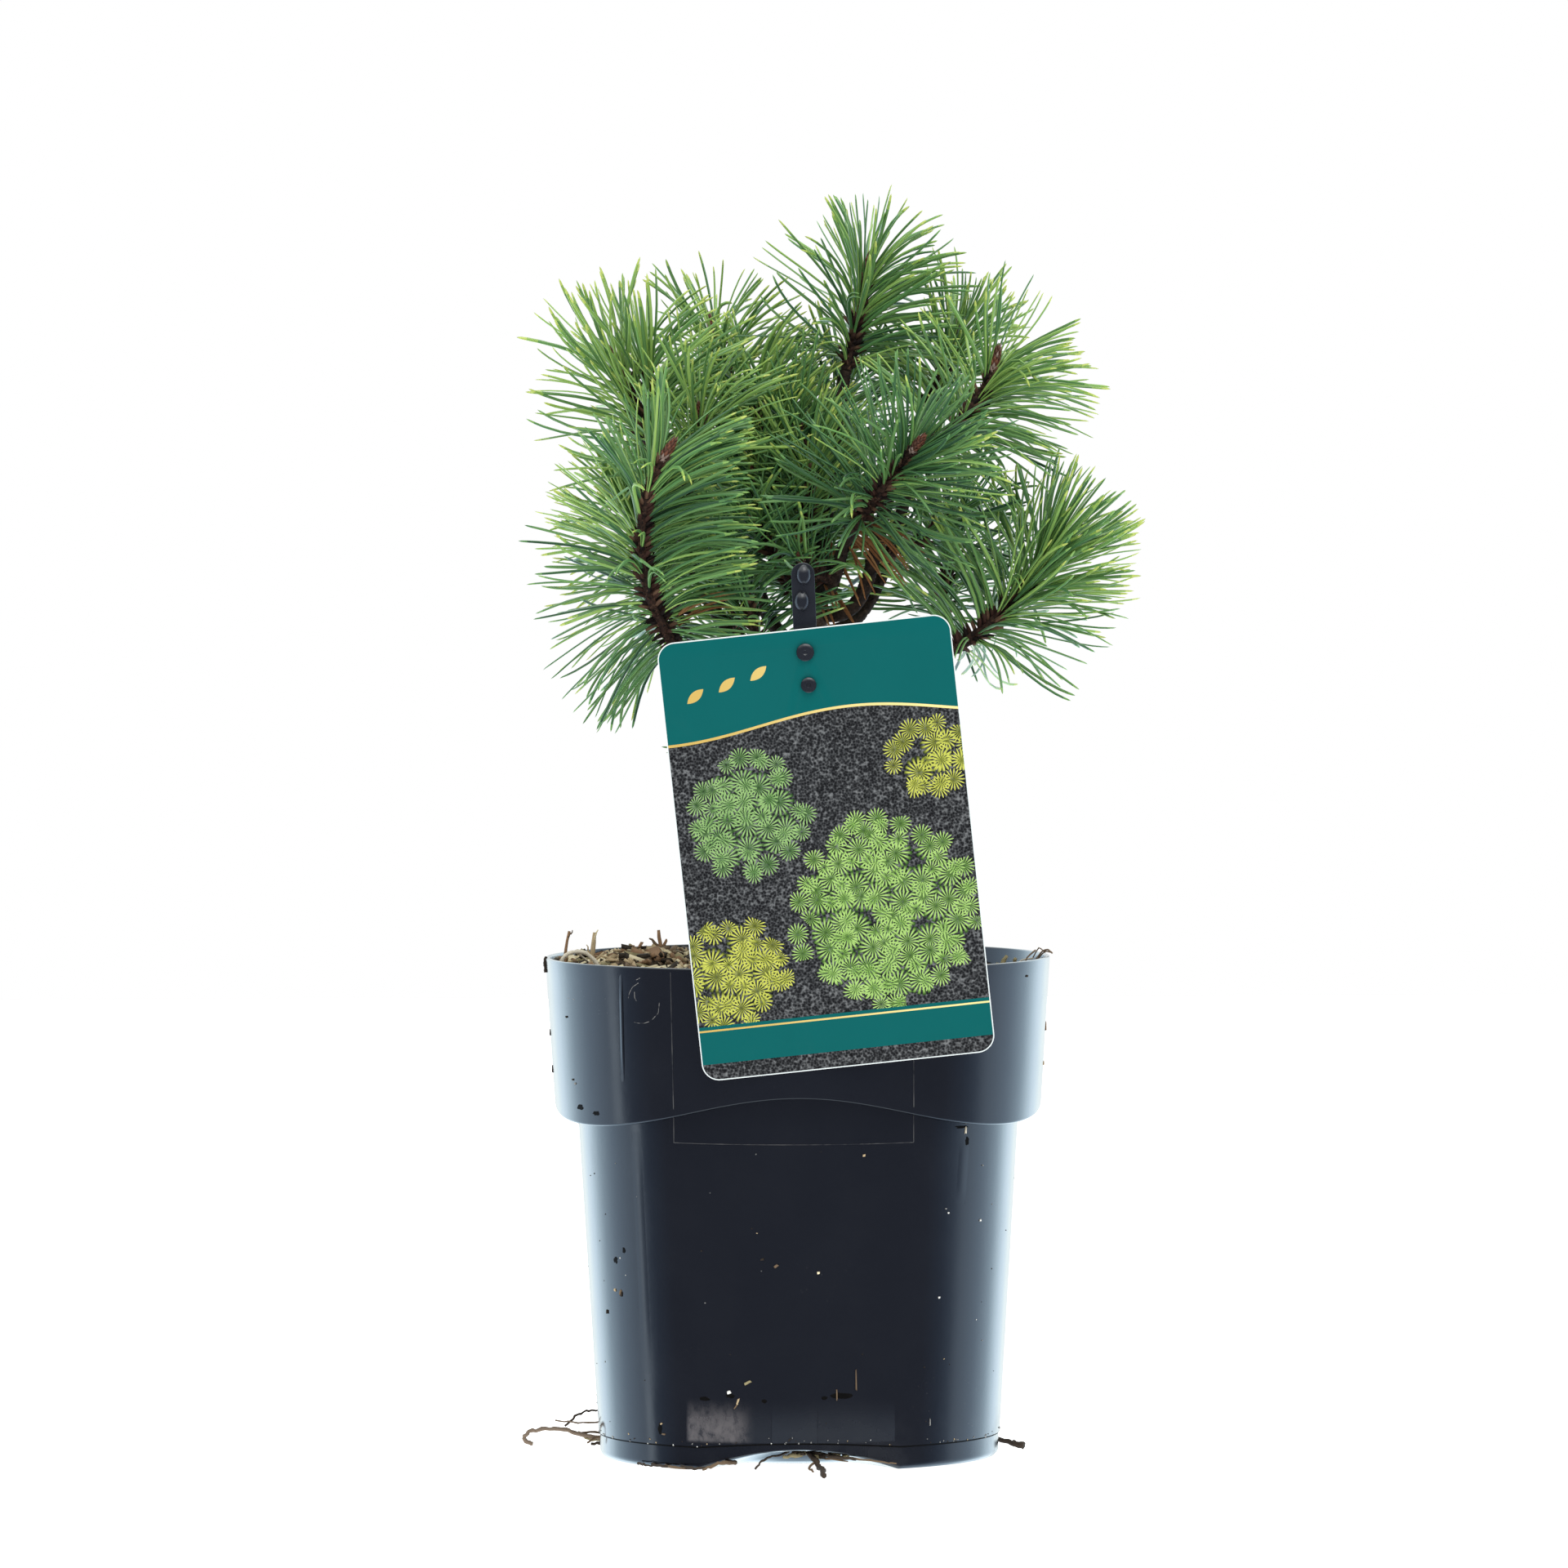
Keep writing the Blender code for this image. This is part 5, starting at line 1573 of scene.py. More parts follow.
THIN = (  # shoot, a side of it, how near to that side as a cosine, share of the pairs left out
    ("front_left", (-0.90, 0.0, 0.45), 0.60, 0.40),
    ("left_high", (-1.0, 0.0, 0.1), 0.60, 0.30),
    ("top", (-0.2, 0.0, 1.0), 0.88, 0.5),
    ("top", (-1.0, 0.0, -0.2), 0.50, 0.45),
    ("right_low", (0.0, 0.0, -1.0), 0.62, 0.35),
    ("right_low", (0.5, 0.0, -0.85), 0.60, 0.4),
    ("right_high", (-0.6, 0.0, 0.8), 0.50, 0.50),
    ("right_high", (0.0, 0.0, -1.0), 0.75, 0.3),
    ("right_back_high", (-0.2, 0.0, 1.0), 0.70, 0.5),
    ("back_left_high", (0.0, 0.0, 1.0), 0.85, 0.4),
)
print("%d shoots, %d thin sides" % (len(HABITS), len(THIN)))

# %% Where needles may go
CROWN_FLOOR = 262.5 * MM
HANG_FLOOR = 245.0 * MM
HANG_OFF_MIDDLE = 50.0 * MM
BOX_MARGIN = 0.8 * MM
BOX_OVER = (4.0 * MM, -0.8 * MM, -0.3 * MM)
LIMB_CLEAR = 0.7 * MM
BUDS_IN_VIEW = ("front_left", "front_middle", "right_high")
BUD_CLEAR = 2.2 * MM
CARD_WIDTH = 108.7 * MM
CARD_HEIGHT = 163.4 * MM
CARD_MIDDLE = (10.6 * MM, 45.3 * MM)
CARD_TILT = radians(5.95)
STAKE_WIDTH = 8.6 * MM
STAKE_THICKNESS = 1.6 * MM
STAKE_TOP = 150.6 * MM
STAKE_MIDDLE = (2.6 * MM, 138.0 * MM)
STAKE_TILT = radians(2.0)
STAKE_BEHIND_RIM = 3.8 * MM
LABEL_MARGIN = 2.0 * MM


def label_plane(off_rim):
    """The frame of the label's plane, so far in front of the rim's edge, leaning like the wall."""
    move = Matrix.Translation((0.0, -RIM_RADIUS, POT_HEIGHT))
    return move @ Matrix.Rotation(DRAFT, 4, "X") @ Matrix.Translation((0.0, -off_rim, 0.0))


def turned_in_plane(middle, tilt):
    return Matrix.Translation((middle[0], 0.0, middle[1])) @ Matrix.Rotation(-tilt, 4, "Y")


INTO_PLANE = label_plane(0.0).inverted()
INTO_CARD = turned_in_plane(CARD_MIDDLE, CARD_TILT).inverted()


def behind_label(points):
    """Whether a needle's points stay out of the card, its stake and their studs."""
    for point in points:
        spot = INTO_PLANE @ point
        if spot.y > STAKE_BEHIND_RIM + STAKE_THICKNESS + LABEL_MARGIN:
            continue
        on_card = INTO_CARD @ Vector((spot.x, 0.0, spot.z))
        over_card = abs(on_card.x) < CARD_WIDTH / 2.0 + LABEL_MARGIN
        over_card = over_card and abs(on_card.z) < CARD_HEIGHT / 2.0 + LABEL_MARGIN
        over_stake = abs(spot.x - STAKE_MIDDLE[0]) < STAKE_WIDTH and spot.z < STAKE_TOP + LABEL_MARGIN
        if over_card or over_stake:
            return False
    return True


def in_reach(points):
    """Whether a needle's points stay above the pot and in the solids' box, or just over it."""
    for point in points:
        if point.z < (HANG_FLOOR if abs(point.x) > HANG_OFF_MIDDLE else CROWN_FLOOR):
            return False
        for value, low, high, over in zip(point, cad_low, cad_high, BOX_OVER):
            if value < low + BOX_MARGIN or value > high + over:
                return False
    return True


print("needles keep %.1f mm inside the box at the left and the front" % (BOX_MARGIN / MM))


# %% Needles leave the buds in view and the limbs free
def bud_sights():
    """The lines from the buds that show to the eye: for each, a place on the bud and a direction."""
    sights = []
    for name in BUDS_IN_VIEW:
        end, way = bezier(stems[name][0], 1.0)
        for share in (0.05, 0.4, 0.75):
            place = end + way * (BUD_LENGTH * share - BUD_SINK)
            sights.append((place, (camera.matrix_world.translation - place).normalized()))
    return sights


SIGHT_FOOTS, SIGHT_WAYS = (np.array(column) for column in zip(*bud_sights()))


def leaves_buds_in_view(points):
    """Whether a needle's points stay off the lines of sight to the buds."""
    off = np.array(points)[:, None, :] - SIGHT_FOOTS[None, :, :]
    ahead = np.sum(off * SIGHT_WAYS, 2)
    aside = np.linalg.norm(off - SIGHT_WAYS * ahead[:, :, None], axis=2)
    return not np.any((ahead > 0.0) & (aside < BUD_CLEAR))


def limb_rods():
    """Every limb as a chain of short rods: name, start, end and radius."""
    chains = [("trunk", TRUNK_CURVE, 24, 5.2 * MM)]
    chains += [("bough_" + name, boughs[name], 10, 2.6 * MM) for name in boughs]
    chains += [(name, stem, 8, 1.9 * MM) for name in stems for stem in stems[name]]
    for name, curve, count, radius in chains:
        spots = [bezier(curve, n / count)[0] for n in range(count + 1)]
        for start, end in zip(spots, spots[1:]):
            yield name, start, end, radius


ROD_NAMES, ROD_STARTS, ROD_ENDS, ROD_RADII = (np.array(column) for column in zip(*limb_rods()))


def free_of_limbs(points, own):
    """Whether a needle, past its first stretch, stays clear of all other limbs."""
    others = ROD_NAMES != own
    starts, ways = ROD_STARTS[others], (ROD_ENDS - ROD_STARTS)[others]
    squares = np.sum(ways * ways, 1)
    for point in points:
        share = np.clip(np.sum((np.array(point) - starts) * ways, 1) / squares, 0.0, 1.0)
        gap = np.linalg.norm(np.array(point) - starts - ways * share[:, None], axis=1)
        if (gap - ROD_RADII[others]).min() < LIMB_CLEAR:
            return False
    return True


print("limbs as %d rods, %d lines of sight" % (len(ROD_NAMES), len(SIGHT_WAYS)))


# %% Grow the pairs
def gauss_vector(dice, spread):
    return Vector([dice.gauss(0.0, spread) for _ in range(3)])


def needle_curve(start, way, aim, size, last):
    """Four points: a needle leaves nearer the stem's way, bends to its aim and ends its own way."""
    first = (aim * FIRST_MIX[0] + way * FIRST_MIX[1]).normalized()
    last = last.normalized()
    end = start + (first * END_MIX[0] + aim * END_MIX[1] + last * END_MIX[2]) * size
    return (start, start + first * (size * HANDLES[0]), end - last * (size * HANDLES[1]), end)


def needle_aim(habit, way, out, spread, share):
    """Where a needle points: spread from its stem, lifted, and hanging low on some shoots."""
    aim = spoke(way, out, spread)
    aim += UP * NEEDLE_LIFT + way * (NEAR_LIFT * max(0.0, -aim.y))
    aim -= UP * (habit.hang * max(0.0, 1.0 - share / HANG_BELOW))
    if aim.z < 0.0 and share > habit.droop_above:
        aim.z *= DROOP
    return aim.normalized()


def clear_of_all(samples, name):
    """Whether a needle's points keep off the label, other limbs and the lines to the buds."""
    past_root = samples[3::2]
    if not in_reach(samples) or not behind_label(past_root):
        return False
    return free_of_limbs(past_root, name) and leaves_buds_in_view(samples)


def grow_stem(name, stem, longest, step, dealt, dice):
    """Every pair on one stem: two curves, the way the flat sides face, and a green."""
    pairs = []
    habit = HABITS[name]
    thin = [(Vector(side).normalized(), near, share) for shoot, side, near, share in THIN if shoot == name]
    comb = Vector(habit.comb)
    count = int((stem[3] - stem[0]).length / step)
    for number in range(count):
        share = NEEDLE_FIRST + (NEEDLE_LAST - NEEDLE_FIRST) * number / max(count - 1, 1)
        spot, way = bezier(stem, share)
        side, other = side_frame(way)
        shorter = 1.0 - TIP_SHORTENS_BY * smooth_step(TIP_SHORTENS_FROM, 1.0, share)
        for attempt in range(NEEDLE_TRIES):
            turn = number * GOLDEN_ANGLE + attempt * RETRY_TURN
            out = spoke(side, other, turn + dice.uniform(-TURN_JITTER, TURN_JITTER))
            spread = blend(SPREAD_FOOT, SPREAD_TIP, share**SPREAD_POWER) + dice.gauss(0.0, SPREAD_JITTER)
            aim = needle_aim(habit, way, out, spread, share)
            combed = comb if aim.dot(comb) > COMB_FROM * comb.length else comb * 0.0
            aim = (aim + combed * COMB_START).normalized()
            near = share < habit.shed_below and aim.y < NEAR_SIDE
            if near and dice.random() < habit.shed_chance:
                break
            if any(aim.dot(away) > limit and dice.random() < chance for away, limit, chance in thin):
                break
            size = longest * MM * dice.uniform(NEEDLE_SHORTEST, 1.0) * float(shorter)
            root = spot + out * (stem_radius(share) * ROOT_SUNK)
            drift = noise.noise_vector(root / DRIFT_SIZE) * DRIFT_PULL
            sway = gauss_vector(dice, SWAY)
            last = aim + combed * COMB_END + UP * dice.uniform(*TIP_RISE) + drift + sway
            if near or dice.random() < STRAY_CHANCE:
                last = aim * 0.5 + out.cross(way) * dice.uniform(-1.0, 1.0) - UP * dice.uniform(0.2, 0.9)
                last += sway
                size *= dice.uniform(0.55, 0.85)
            curve = needle_curve(root, way, aim, size, last)
            if not clear_of_all([bezier(curve, n / 12.0)[0] for n in range(1, 13)], name):
                continue
            flat = aim.cross(gauss_vector(dice, 1.0)).normalized()
            green = dice.choices(range(GREEN_COUNT), dealt)[0]
            # Needles low on the stem, inside the crown, get darker greens: partly their age, partly painted
            # shade.
            if share < OLD_AND_SHADED_BELOW and dice.random() < OLD_AND_SHADED_CHANCE:
                green = min(green + dice.choice((1, 2)), GREEN_COUNT - 1)
            pairs.append((curve, flat, green))
            break
    return pairs


print("up to %d tries for each pair" % NEEDLE_TRIES)


# %% Two needles of a pair, and their greens
def split_pair(curve, flat, dice):
    """The two needles of a pair: they share a root and open towards their tips."""
    a, b, c, d = curve
    size = (d - a).length
    opening = size * PAIR_OPENING * dice.uniform(0.4, 1.6)
    made = []
    for push in (-flat, flat):
        shorter = dice.uniform(0.93, 1.0)
        near = a + (b - a) * shorter + push * (opening * 0.15 + 0.1 * MM)
        far = a + (c - a) * shorter + push * (opening * 0.55)
        tip = a + (d - a) * shorter + push * (opening * dice.uniform(0.8, 1.1))
        made.append((a + push * (0.10 * MM), near, far, tip))
    return made


# Needles on the finer twigs get dark greens as painted shade, and on sunlit twigs pale greens as painted
# light.
SHADED_SPUR_GREENS = (0, 0, 1, 2, 3, 4, 5, 5)
SUNLIT_GREENS = (7, 6, 4, 3, 1, 0, 0, 0)
GREENS = (
    (0.270, 0.430, 0.105),
    (0.205, 0.370, 0.092),
    (0.150, 0.310, 0.080),
    (0.108, 0.250, 0.070),
    (0.076, 0.195, 0.060),
    (0.052, 0.146, 0.050),
    (0.034, 0.100, 0.038),
    (0.019, 0.060, 0.025),
)
OTHER_GREENS = (
    ("needle_flat_side", (0.105, 0.230, 0.068), 0.38),
    ("needle_fresh", (0.245, 0.395, 0.075), 0.30),
    ("needle_tip", (0.440, 0.530, 0.120), 0.36),
)


def needle_finish(name, colour, gloss):
    """A green in one plain colour, with fine lines along it in its gloss and relief."""
    leaf = Finish(name, base_color=colour, specular_ior_level=0.38)
    leaf.set(roughness=gloss + leaf.grain(260.0) * 0.16)
    leaf.relief(leaf.grain(2400.0, 2.0), 0.1 * MM, 0.6)
    return leaf


def needle_finishes():
    backs = [("needle_green_%d" % number, colour, 0.24) for number, colour in enumerate(GREENS)]
    return [needle_finish(*green) for green in (*backs, *OTHER_GREENS)]


print("%d greens for the needles' backs" % len(GREENS))

# %% Dress the shoots
GROUPS = {
    "needles_front": ("front_left", "front_middle"),
    "needles_left": ("left_high", "back_left_low", "back_left_high", "middle"),
    "needles_right": ("right_low", "right_high", "right_back_low", "right_back_high"),
    "needles_back": ("top", "back_low", "back_high"),
}
LONGEST = {row[0]: row[6] for row in SHOOTS}


def growth(name, stem):
    """How a shoot's stem or one of its finer twigs grows: longest needle, step and greens."""
    for spur, sunlit in spurs:
        if stem is spur:
            step = SUNLIT_PAIR_STEP if sunlit else SPUR_PAIR_STEP
            return LONGEST[name] * SPUR_NEEDLE, step, SUNLIT_GREENS if sunlit else SHADED_SPUR_GREENS
    return LONGEST[name], HABITS[name].step * MM, HABITS[name].greens


def dress_shoot(name, heap, sheaths):
    """Adds a shoot's needles to one heap and their sheaths to another, and counts the needles."""
    dice = random.Random("pairs of " + name)
    pairs = []
    for stem in stems[name]:
        pairs += grow_stem(name, stem, *growth(name, stem), dice)
    curves, facing, widths, greens = [], [], [], []
    for curve, flat, green in pairs:
        for needle, sign in zip(split_pair(curve, flat, dice), (1.0, -1.0)):
            curves.append([tuple(point) for point in needle])
            facing.append(tuple(flat * sign))
            widths.append(HALF_WIDTH * dice.uniform(0.86, 1.12))
            greens.append(green)
        ends = [bezier(curve, n / 10.0)[0] for n in (0, 0.5, 1.0)]
        strand(sheaths, ends, [0.86 * MM, 0.82 * MM, 0.64 * MM], 5, dice.choice((0, 1, 1, 2)))
    arrays = (np.array(values) for values in (curves, facing, widths, greens))
    heap.add(*needle_mesh(*arrays, dice))
    return len(curves)


def dress_shoots():
    finishes, sheaths, total = needle_finishes(), Heap(), 0
    for group, names in GROUPS.items():
        heap = Heap()
        total += sum(dress_shoot(name, heap, sheaths) for name in names)
        make_piece(group, heap, finishes, ["shoot_" + name for name in names])
    tones = [plain_brown(tone, SCALE_BROWNS[tone]) for tone in ("scale_dark", "scale_red", "scale_tan")]
    make_piece("needle_sheaths", sheaths, tones)
    print("needles: %d" % total)


dress_shoots()

# %% [markdown]
# ## The hang card
# A printed plastic card, 109 by 163 mm, with round corners, a fine pale edge and two holes for
# the stake's studs. Its outline is a flat curve with a hair of bevel, made in the card's own
# axes and then hung in the label's plane, so that the print can use its across and up. The
# print is a plain planting bed between two teal bands: leafy rosettes in clumps on dark mulch,
# and a row of small gold leaves.

# %% Card shape
CARD_THICKNESS = 0.6 * MM
CARD_CORNER = 6.5 * MM
CARD_OFF_COLLAR = 0.4 * MM
CARD_BEVEL = 0.12 * MM
STUD_PLACES = ((3.1 * MM, 117.9 * MM), (4.3 * MM, 105.8 * MM))
STUD_HEAD_RADII = (3.3 * MM, 2.9 * MM)
STUD_RADIUS = 1.6 * MM
STUD_HEAD_DEPTH = 1.5 * MM


def add_plate(heap, outlines, thickness, bevel, place=None, front=0, rest=0):
    """Heaps a plate with bevelled edges, drawn in the XZ plane. Inner outlines are holes."""
    curve = bpy.data.curves.new("plate", "CURVE")
    curve.dimensions = "2D"
    curve.fill_mode = "BOTH"
    curve.extrude = thickness / 2.0 - bevel
    curve.bevel_depth = bevel
    curve.bevel_resolution = 2
    curve.offset = -bevel
    for outline in outlines:
        spline = curve.splines.new("POLY")
        spline.points.add(len(outline) - 1)
        for spot, (across, up) in zip(spline.points, outline):
            spot.co = (across, up, 0.0, 1.0)
        spline.use_cyclic_u = True
    thing = add_thing("plate", curve)
    graph = bpy.context.evaluated_depsgraph_get()
    graph.update()
    mesh = bpy.data.meshes.new_from_object(thing.evaluated_get(graph))
    mesh.transform(Matrix.Rotation(pi / 2.0, 4, "X"))
    bpy.data.objects.remove(thing, do_unlink=True)
    shape = bmesh.new()
    shape.from_mesh(mesh)
    bmesh.ops.remove_doubles(shape, verts=shape.verts, dist=0.01 * MM)
    shape.to_mesh(mesh)
    shape.free()
    finishes = [front if polygon.normal.y < -0.99 else rest for polygon in mesh.polygons]
    if place:
        mesh.transform(place)
    heap.add([tuple(v.co) for v in mesh.vertices], [list(p.vertices) for p in mesh.polygons], finishes)


print("card: %.1f by %.1f mm" % (CARD_WIDTH / MM, CARD_HEIGHT / MM))

# %% Card print
CARD_EDGE = 0.42 * MM
CARD_BACK_WHITES = ((0.74, 0.77, 0.77), (0.82, 0.84, 0.83))
YELLOW_CLUMP = ((0.040, 0.056, 0.010), (0.270, 0.300, 0.035), (0.480, 0.500, 0.090))
CLUMPS = (  # middle and radius in metres, then the colours of gaps, leaves and tips
    ((0.0185, -0.0255), 0.0350, (0.024, 0.070, 0.010), (0.150, 0.300, 0.055), (0.330, 0.500, 0.150)),
    ((-0.0285, 0.0150), 0.0225, (0.016, 0.048, 0.012), (0.095, 0.215, 0.055), (0.250, 0.400, 0.150)),
    ((-0.0405, -0.0430), 0.0215, *YELLOW_CLUMP),
    ((0.0420, 0.0300), 0.0145, *YELLOW_CLUMP),
)
LAYERS = ((125.0, 17.0, (0.0, 0.0, 0.0), 0.0), (150.0, 15.0, (0.31, 0.17, 0.0), 0.40))
MULCH = (
    (0.36, (0.0030, 0.0030, 0.0036)),
    (0.50, (0.0120, 0.0125, 0.0140)),
    (0.62, (0.0420, 0.0440, 0.0470)),
    (0.76, (0.1500, 0.1560, 0.1600)),
)
BAND_LEVEL = 47.0 * MM
BAND_WAVE = 4.0 * MM
BAND_LINE = 1.0 * MM
LOW_BAND = (-75.5 * MM, -61.5 * MM)
LOW_LINE = (-63.5 * MM, -62.8 * MM)
GOLD_LEAVES = ((-42.0 * MM, 61.0 * MM), (-30.0 * MM, 64.0 * MM), (-18.0 * MM, 67.0 * MM))


def rosettes(ink, flat, scale, rays, shift):
    """Leafy rosettes: the middle of the one at each place, its odds, and how lit its leaf is."""
    moved = ink.vector("ADD", flat, shift)
    sockets = {"Vector": moved, "Scale": scale, "Randomness": 0.8}
    reach = ink.node("TexVoronoi", {"voronoi_dimensions": "2D"}, sockets)
    place = Wire(reach.outputs()["Position"])
    odds, other_odds, _ = ink.parts(Wire(reach.outputs()["Color"]))
    off_x, off_y, _ = ink.parts(ink.vector("SUBTRACT", moved, place))
    turn = off_x.math("ARCTAN2", off_y, off_x)
    leaf = reach.math("SINE", turn * rays + odds * 6.28 + reach * 2.5, 0.0)
    lit = ink.between(leaf, -0.35, 0.85) * ink.window(reach, (-0.06, 0.14), (0.40, 0.75))
    return ink.vector("SUBTRACT", place, shift), other_odds, reach, leaf, lit


def planting(ink, flat):
    """The picture: rosettes in clumps, in two layers, on dark mulch."""
    mulch = ink.grain(260.0, 8.0, 0.9, 2.2, flat) * 0.75 + ink.cells(1100.0, flat) * 0.38
    picture = ink.ramp(mulch, MULCH)
    shade = ink.grain(70.0, 2.0, where=flat)
    for scale, rays, shift, missing in LAYERS:
        middle, odds, reach, leaf, lit = rosettes(ink, flat, scale, rays, shift)
        shown = (odds > missing) * (lit > missing)
        for place, radius, gap, green, tip in CLUMPS:
            away = ink.vector("DISTANCE", middle, (*place, 0.0), 1)
            deep = away < radius - 5.0 * MM
            blade = (reach < leaf * 0.20 + 0.34) * (away < radius)
            foliage = ink.mix(lit, gap, green)
            foliage = ink.mix(lit * ink.between(reach + shade * 0.6, 0.35, 0.75), foliage, tip)
            picture = ink.mix((deep + blade) * shown, picture, foliage)
    return picture


def round_box(ink, across, up, corner):
    """How far outside the box of the corners' centres a place is: the corner's radius at its edge."""
    beyond = []
    for value, half in ((across, CARD_WIDTH / 2.0), (up, CARD_HEIGHT / 2.0)):
        size = value.math("ABSOLUTE", value, 0.0)
        beyond.append(size.math("MAXIMUM", size - (half - corner), 0.0))
    return ink.vector("LENGTH", ink.node("CombineXYZ", None, {0: beyond[0], 1: beyond[1]}), out=1)


def card_print():
    """The picture between two teal bands with gold lines, small gold leaves and a pale edge."""
    ink = Finish("label_print", specular_ior_level=0.10)
    across, _, up = ink.parts(ink.spot)
    flat = ink.node("CombineXYZ", None, {0: across, 1: up})
    teal = ink.mix(ink.grain(60.0, where=flat), (0.0, 0.088, 0.087), (0.0, 0.096, 0.095))
    gold = ink.mix(ink.between(across, -50.0 * MM, 50.0 * MM), (0.50, 0.34, 0.09), (0.72, 0.60, 0.25))
    band_edge = BAND_LEVEL + across.math("SINE", across * 46.0 + 0.9, 0.0) * BAND_WAVE
    top = up > band_edge
    bottom = (up < LOW_BAND[1]) * (up > LOW_BAND[0])
    face = ink.mix(top + bottom, planting(ink, flat), teal)
    face = ink.mix(top * (up < band_edge + BAND_LINE), face, gold)
    face = ink.mix((up > LOW_LINE[0]) * (up < LOW_LINE[1]), face, gold)
    for x, z in GOLD_LEAVES:
        along = (across - x) * 0.8 + (up - z) * 0.6
        side = (up - z) * 0.8 - (across - x) * 0.6
        inside = side.math("ABSOLUTE", side, 0.0) + along * along * 105.0 < 1.7 * MM
        face = ink.mix(inside, face, gold)
    edge = round_box(ink, across, up, CARD_CORNER) > CARD_CORNER - CARD_EDGE
    face = ink.mix(edge, face, (0.55, 0.60, 0.60))
    scuff = ink.between(ink.grain(90.0, 4.0), 0.55, 0.8)
    ink.set(base_color=face, roughness=0.34 + scuff * 0.14)
    ink.relief(ink.grain(1400.0, where=flat), 0.04 * MM, 0.4)
    return ink


print("%d clumps, %d gold leaves on the card" % (len(CLUMPS), len(GOLD_LEAVES)))


# %% Hang the card
def hang_card():
    wide = CARD_WIDTH / 2.0 - CARD_CORNER
    tall = CARD_HEIGHT / 2.0 - CARD_CORNER
    outline = []
    for number, (side, end) in enumerate(((1, 1), (-1, 1), (-1, -1), (1, -1))):
        outline += arc((side * wide, end * tall), CARD_CORNER, number * 90.0, number * 90.0 + 90.0, 16)
    card_place = turned_in_plane(CARD_MIDDLE, CARD_TILT)
    outlines = [outline]
    for across, up in STUD_PLACES:
        hole = card_place.inverted() @ Vector((across, 0.0, up))
        outlines.append(arc((hole.x, hole.z), STUD_RADIUS + 0.3 * MM, 0.0, 360.0, 32)[:-1])
    heap = Heap()
    add_plate(heap, outlines, CARD_THICKNESS, CARD_BEVEL, front=0, rest=1)
    finishes = [card_print(), two_tone("label_back", 120.0, 3.0, *CARD_BACK_WHITES, 0.34, 0.1)]
    place = label_plane(CARD_OFF_COLLAR + CARD_THICKNESS / 2.0) @ card_place
    make_piece("hang_card", heap, finishes, ["label_card"], 40.0, place)


hang_card()

# %% [markdown]
# ## The card's stake
# A slim black strip with a round top and a pointed foot, pushed down inside the pot's wall. Two
# mushroom studs hold the card, and two spare studs stand on its top. The strip is a bevelled
# plate like the card; the studs are turned shapes set into it.

# %% Stake
STAKE_FOOT = -42.0 * MM
STAKE_POINT = 7.0 * MM
STAKE_BLUNT = 0.3
STAKE_BEVEL = 0.3 * MM
STAKE_BLACKS = ((0.0075, 0.0085, 0.0115), (0.016, 0.018, 0.024))
STUD_COLUMNS = 28
SPARE_STUDS = ((2.6 * MM, 146.1 * MM), (1.9 * MM, 136.4 * MM))
SPARE_STUD_SIZE = (2.8 * MM, 3.2 * MM, 3.9 * MM)
STUD_FACE = (  # a stud head's face: share of its radius, how deep in millimetres, with a dimple
    (0.97, 0.55), (0.82, 0.18), (0.55, 0.0), (0.30, 0.04), (0.22, 0.30), (0.04, 0.38),
)


def stake_finish():
    black = two_tone("stake_plastic", 130.0, 4.0, *STAKE_BLACKS, 0.15, 0.12)
    black.relief(black.grain(1100.0), 0.04 * MM, 0.5)
    return black


def turned_stud(heap, place, profile):
    """A stud turned about the plate's thickness, from (radius, depth) points; front is -Y."""
    turns = [tau * number / STUD_COLUMNS for number in range(STUD_COLUMNS)]
    rows = [[(r * cos(turn), depth, r * sin(turn)) for turn in turns] for r, depth in profile]
    points = [place @ Vector(point) for row in rows for point in row]
    heap.add(points, tube_faces(len(profile), STUD_COLUMNS))


print("stake: %.1f mm long" % ((STAKE_TOP - STAKE_FOOT) / MM))


# %% Build the stake
def build_stake():
    half = STAKE_WIDTH / 2.0
    top = STAKE_TOP - STAKE_MIDDLE[1]
    foot = STAKE_FOOT - STAKE_MIDDLE[1]
    outline = arc((0.0, top - half), half, 0.0, 180.0, 24)
    outline += [(-half, foot + STAKE_POINT), (-half * STAKE_BLUNT, foot), (half * STAKE_BLUNT, foot)]
    outline += [(half, foot + STAKE_POINT)]
    behind = label_plane(-STAKE_BEHIND_RIM - STAKE_THICKNESS / 2.0)
    heap = Heap()
    place = behind @ turned_in_plane(STAKE_MIDDLE, STAKE_TILT)
    add_plate(heap, [outline], STAKE_THICKNESS, STAKE_BEVEL, place)
    plane = label_plane(0.0)
    head_back = -(CARD_OFF_COLLAR + CARD_THICKNESS + 0.3 * MM)
    for (across, up), head in zip(STUD_PLACES, STUD_HEAD_RADII):
        front = head_back - STUD_HEAD_DEPTH
        profile = [(STUD_RADIUS, STAKE_BEHIND_RIM + 0.5 * MM), (STUD_RADIUS, head_back)]
        profile += [(head * 0.93, head_back), (head, head_back - 0.25 * MM)]
        profile += [(head * share, front + deep * MM) for share, deep in STUD_FACE]
        turned_stud(heap, plane @ Matrix.Translation((across, 0.0, up)), profile)
    for across, up in SPARE_STUDS:
        place = plane @ Matrix.Translation((across, STAKE_BEHIND_RIM + 0.2 * MM, up))
        wide, deep, tall = SPARE_STUD_SIZE
        stretch = place @ Matrix.Diagonal((1.0, 1.0, tall / wide, 1.0))
        profile = [(wide * cos(a), -deep * sin(a)) for a in np.linspace(-0.2, 1.54, 10)]
        turned_stud(heap, stretch, profile)
    make_piece("card_stake", heap, [stake_finish()], ["label_stake"], 38.0)


build_stake()

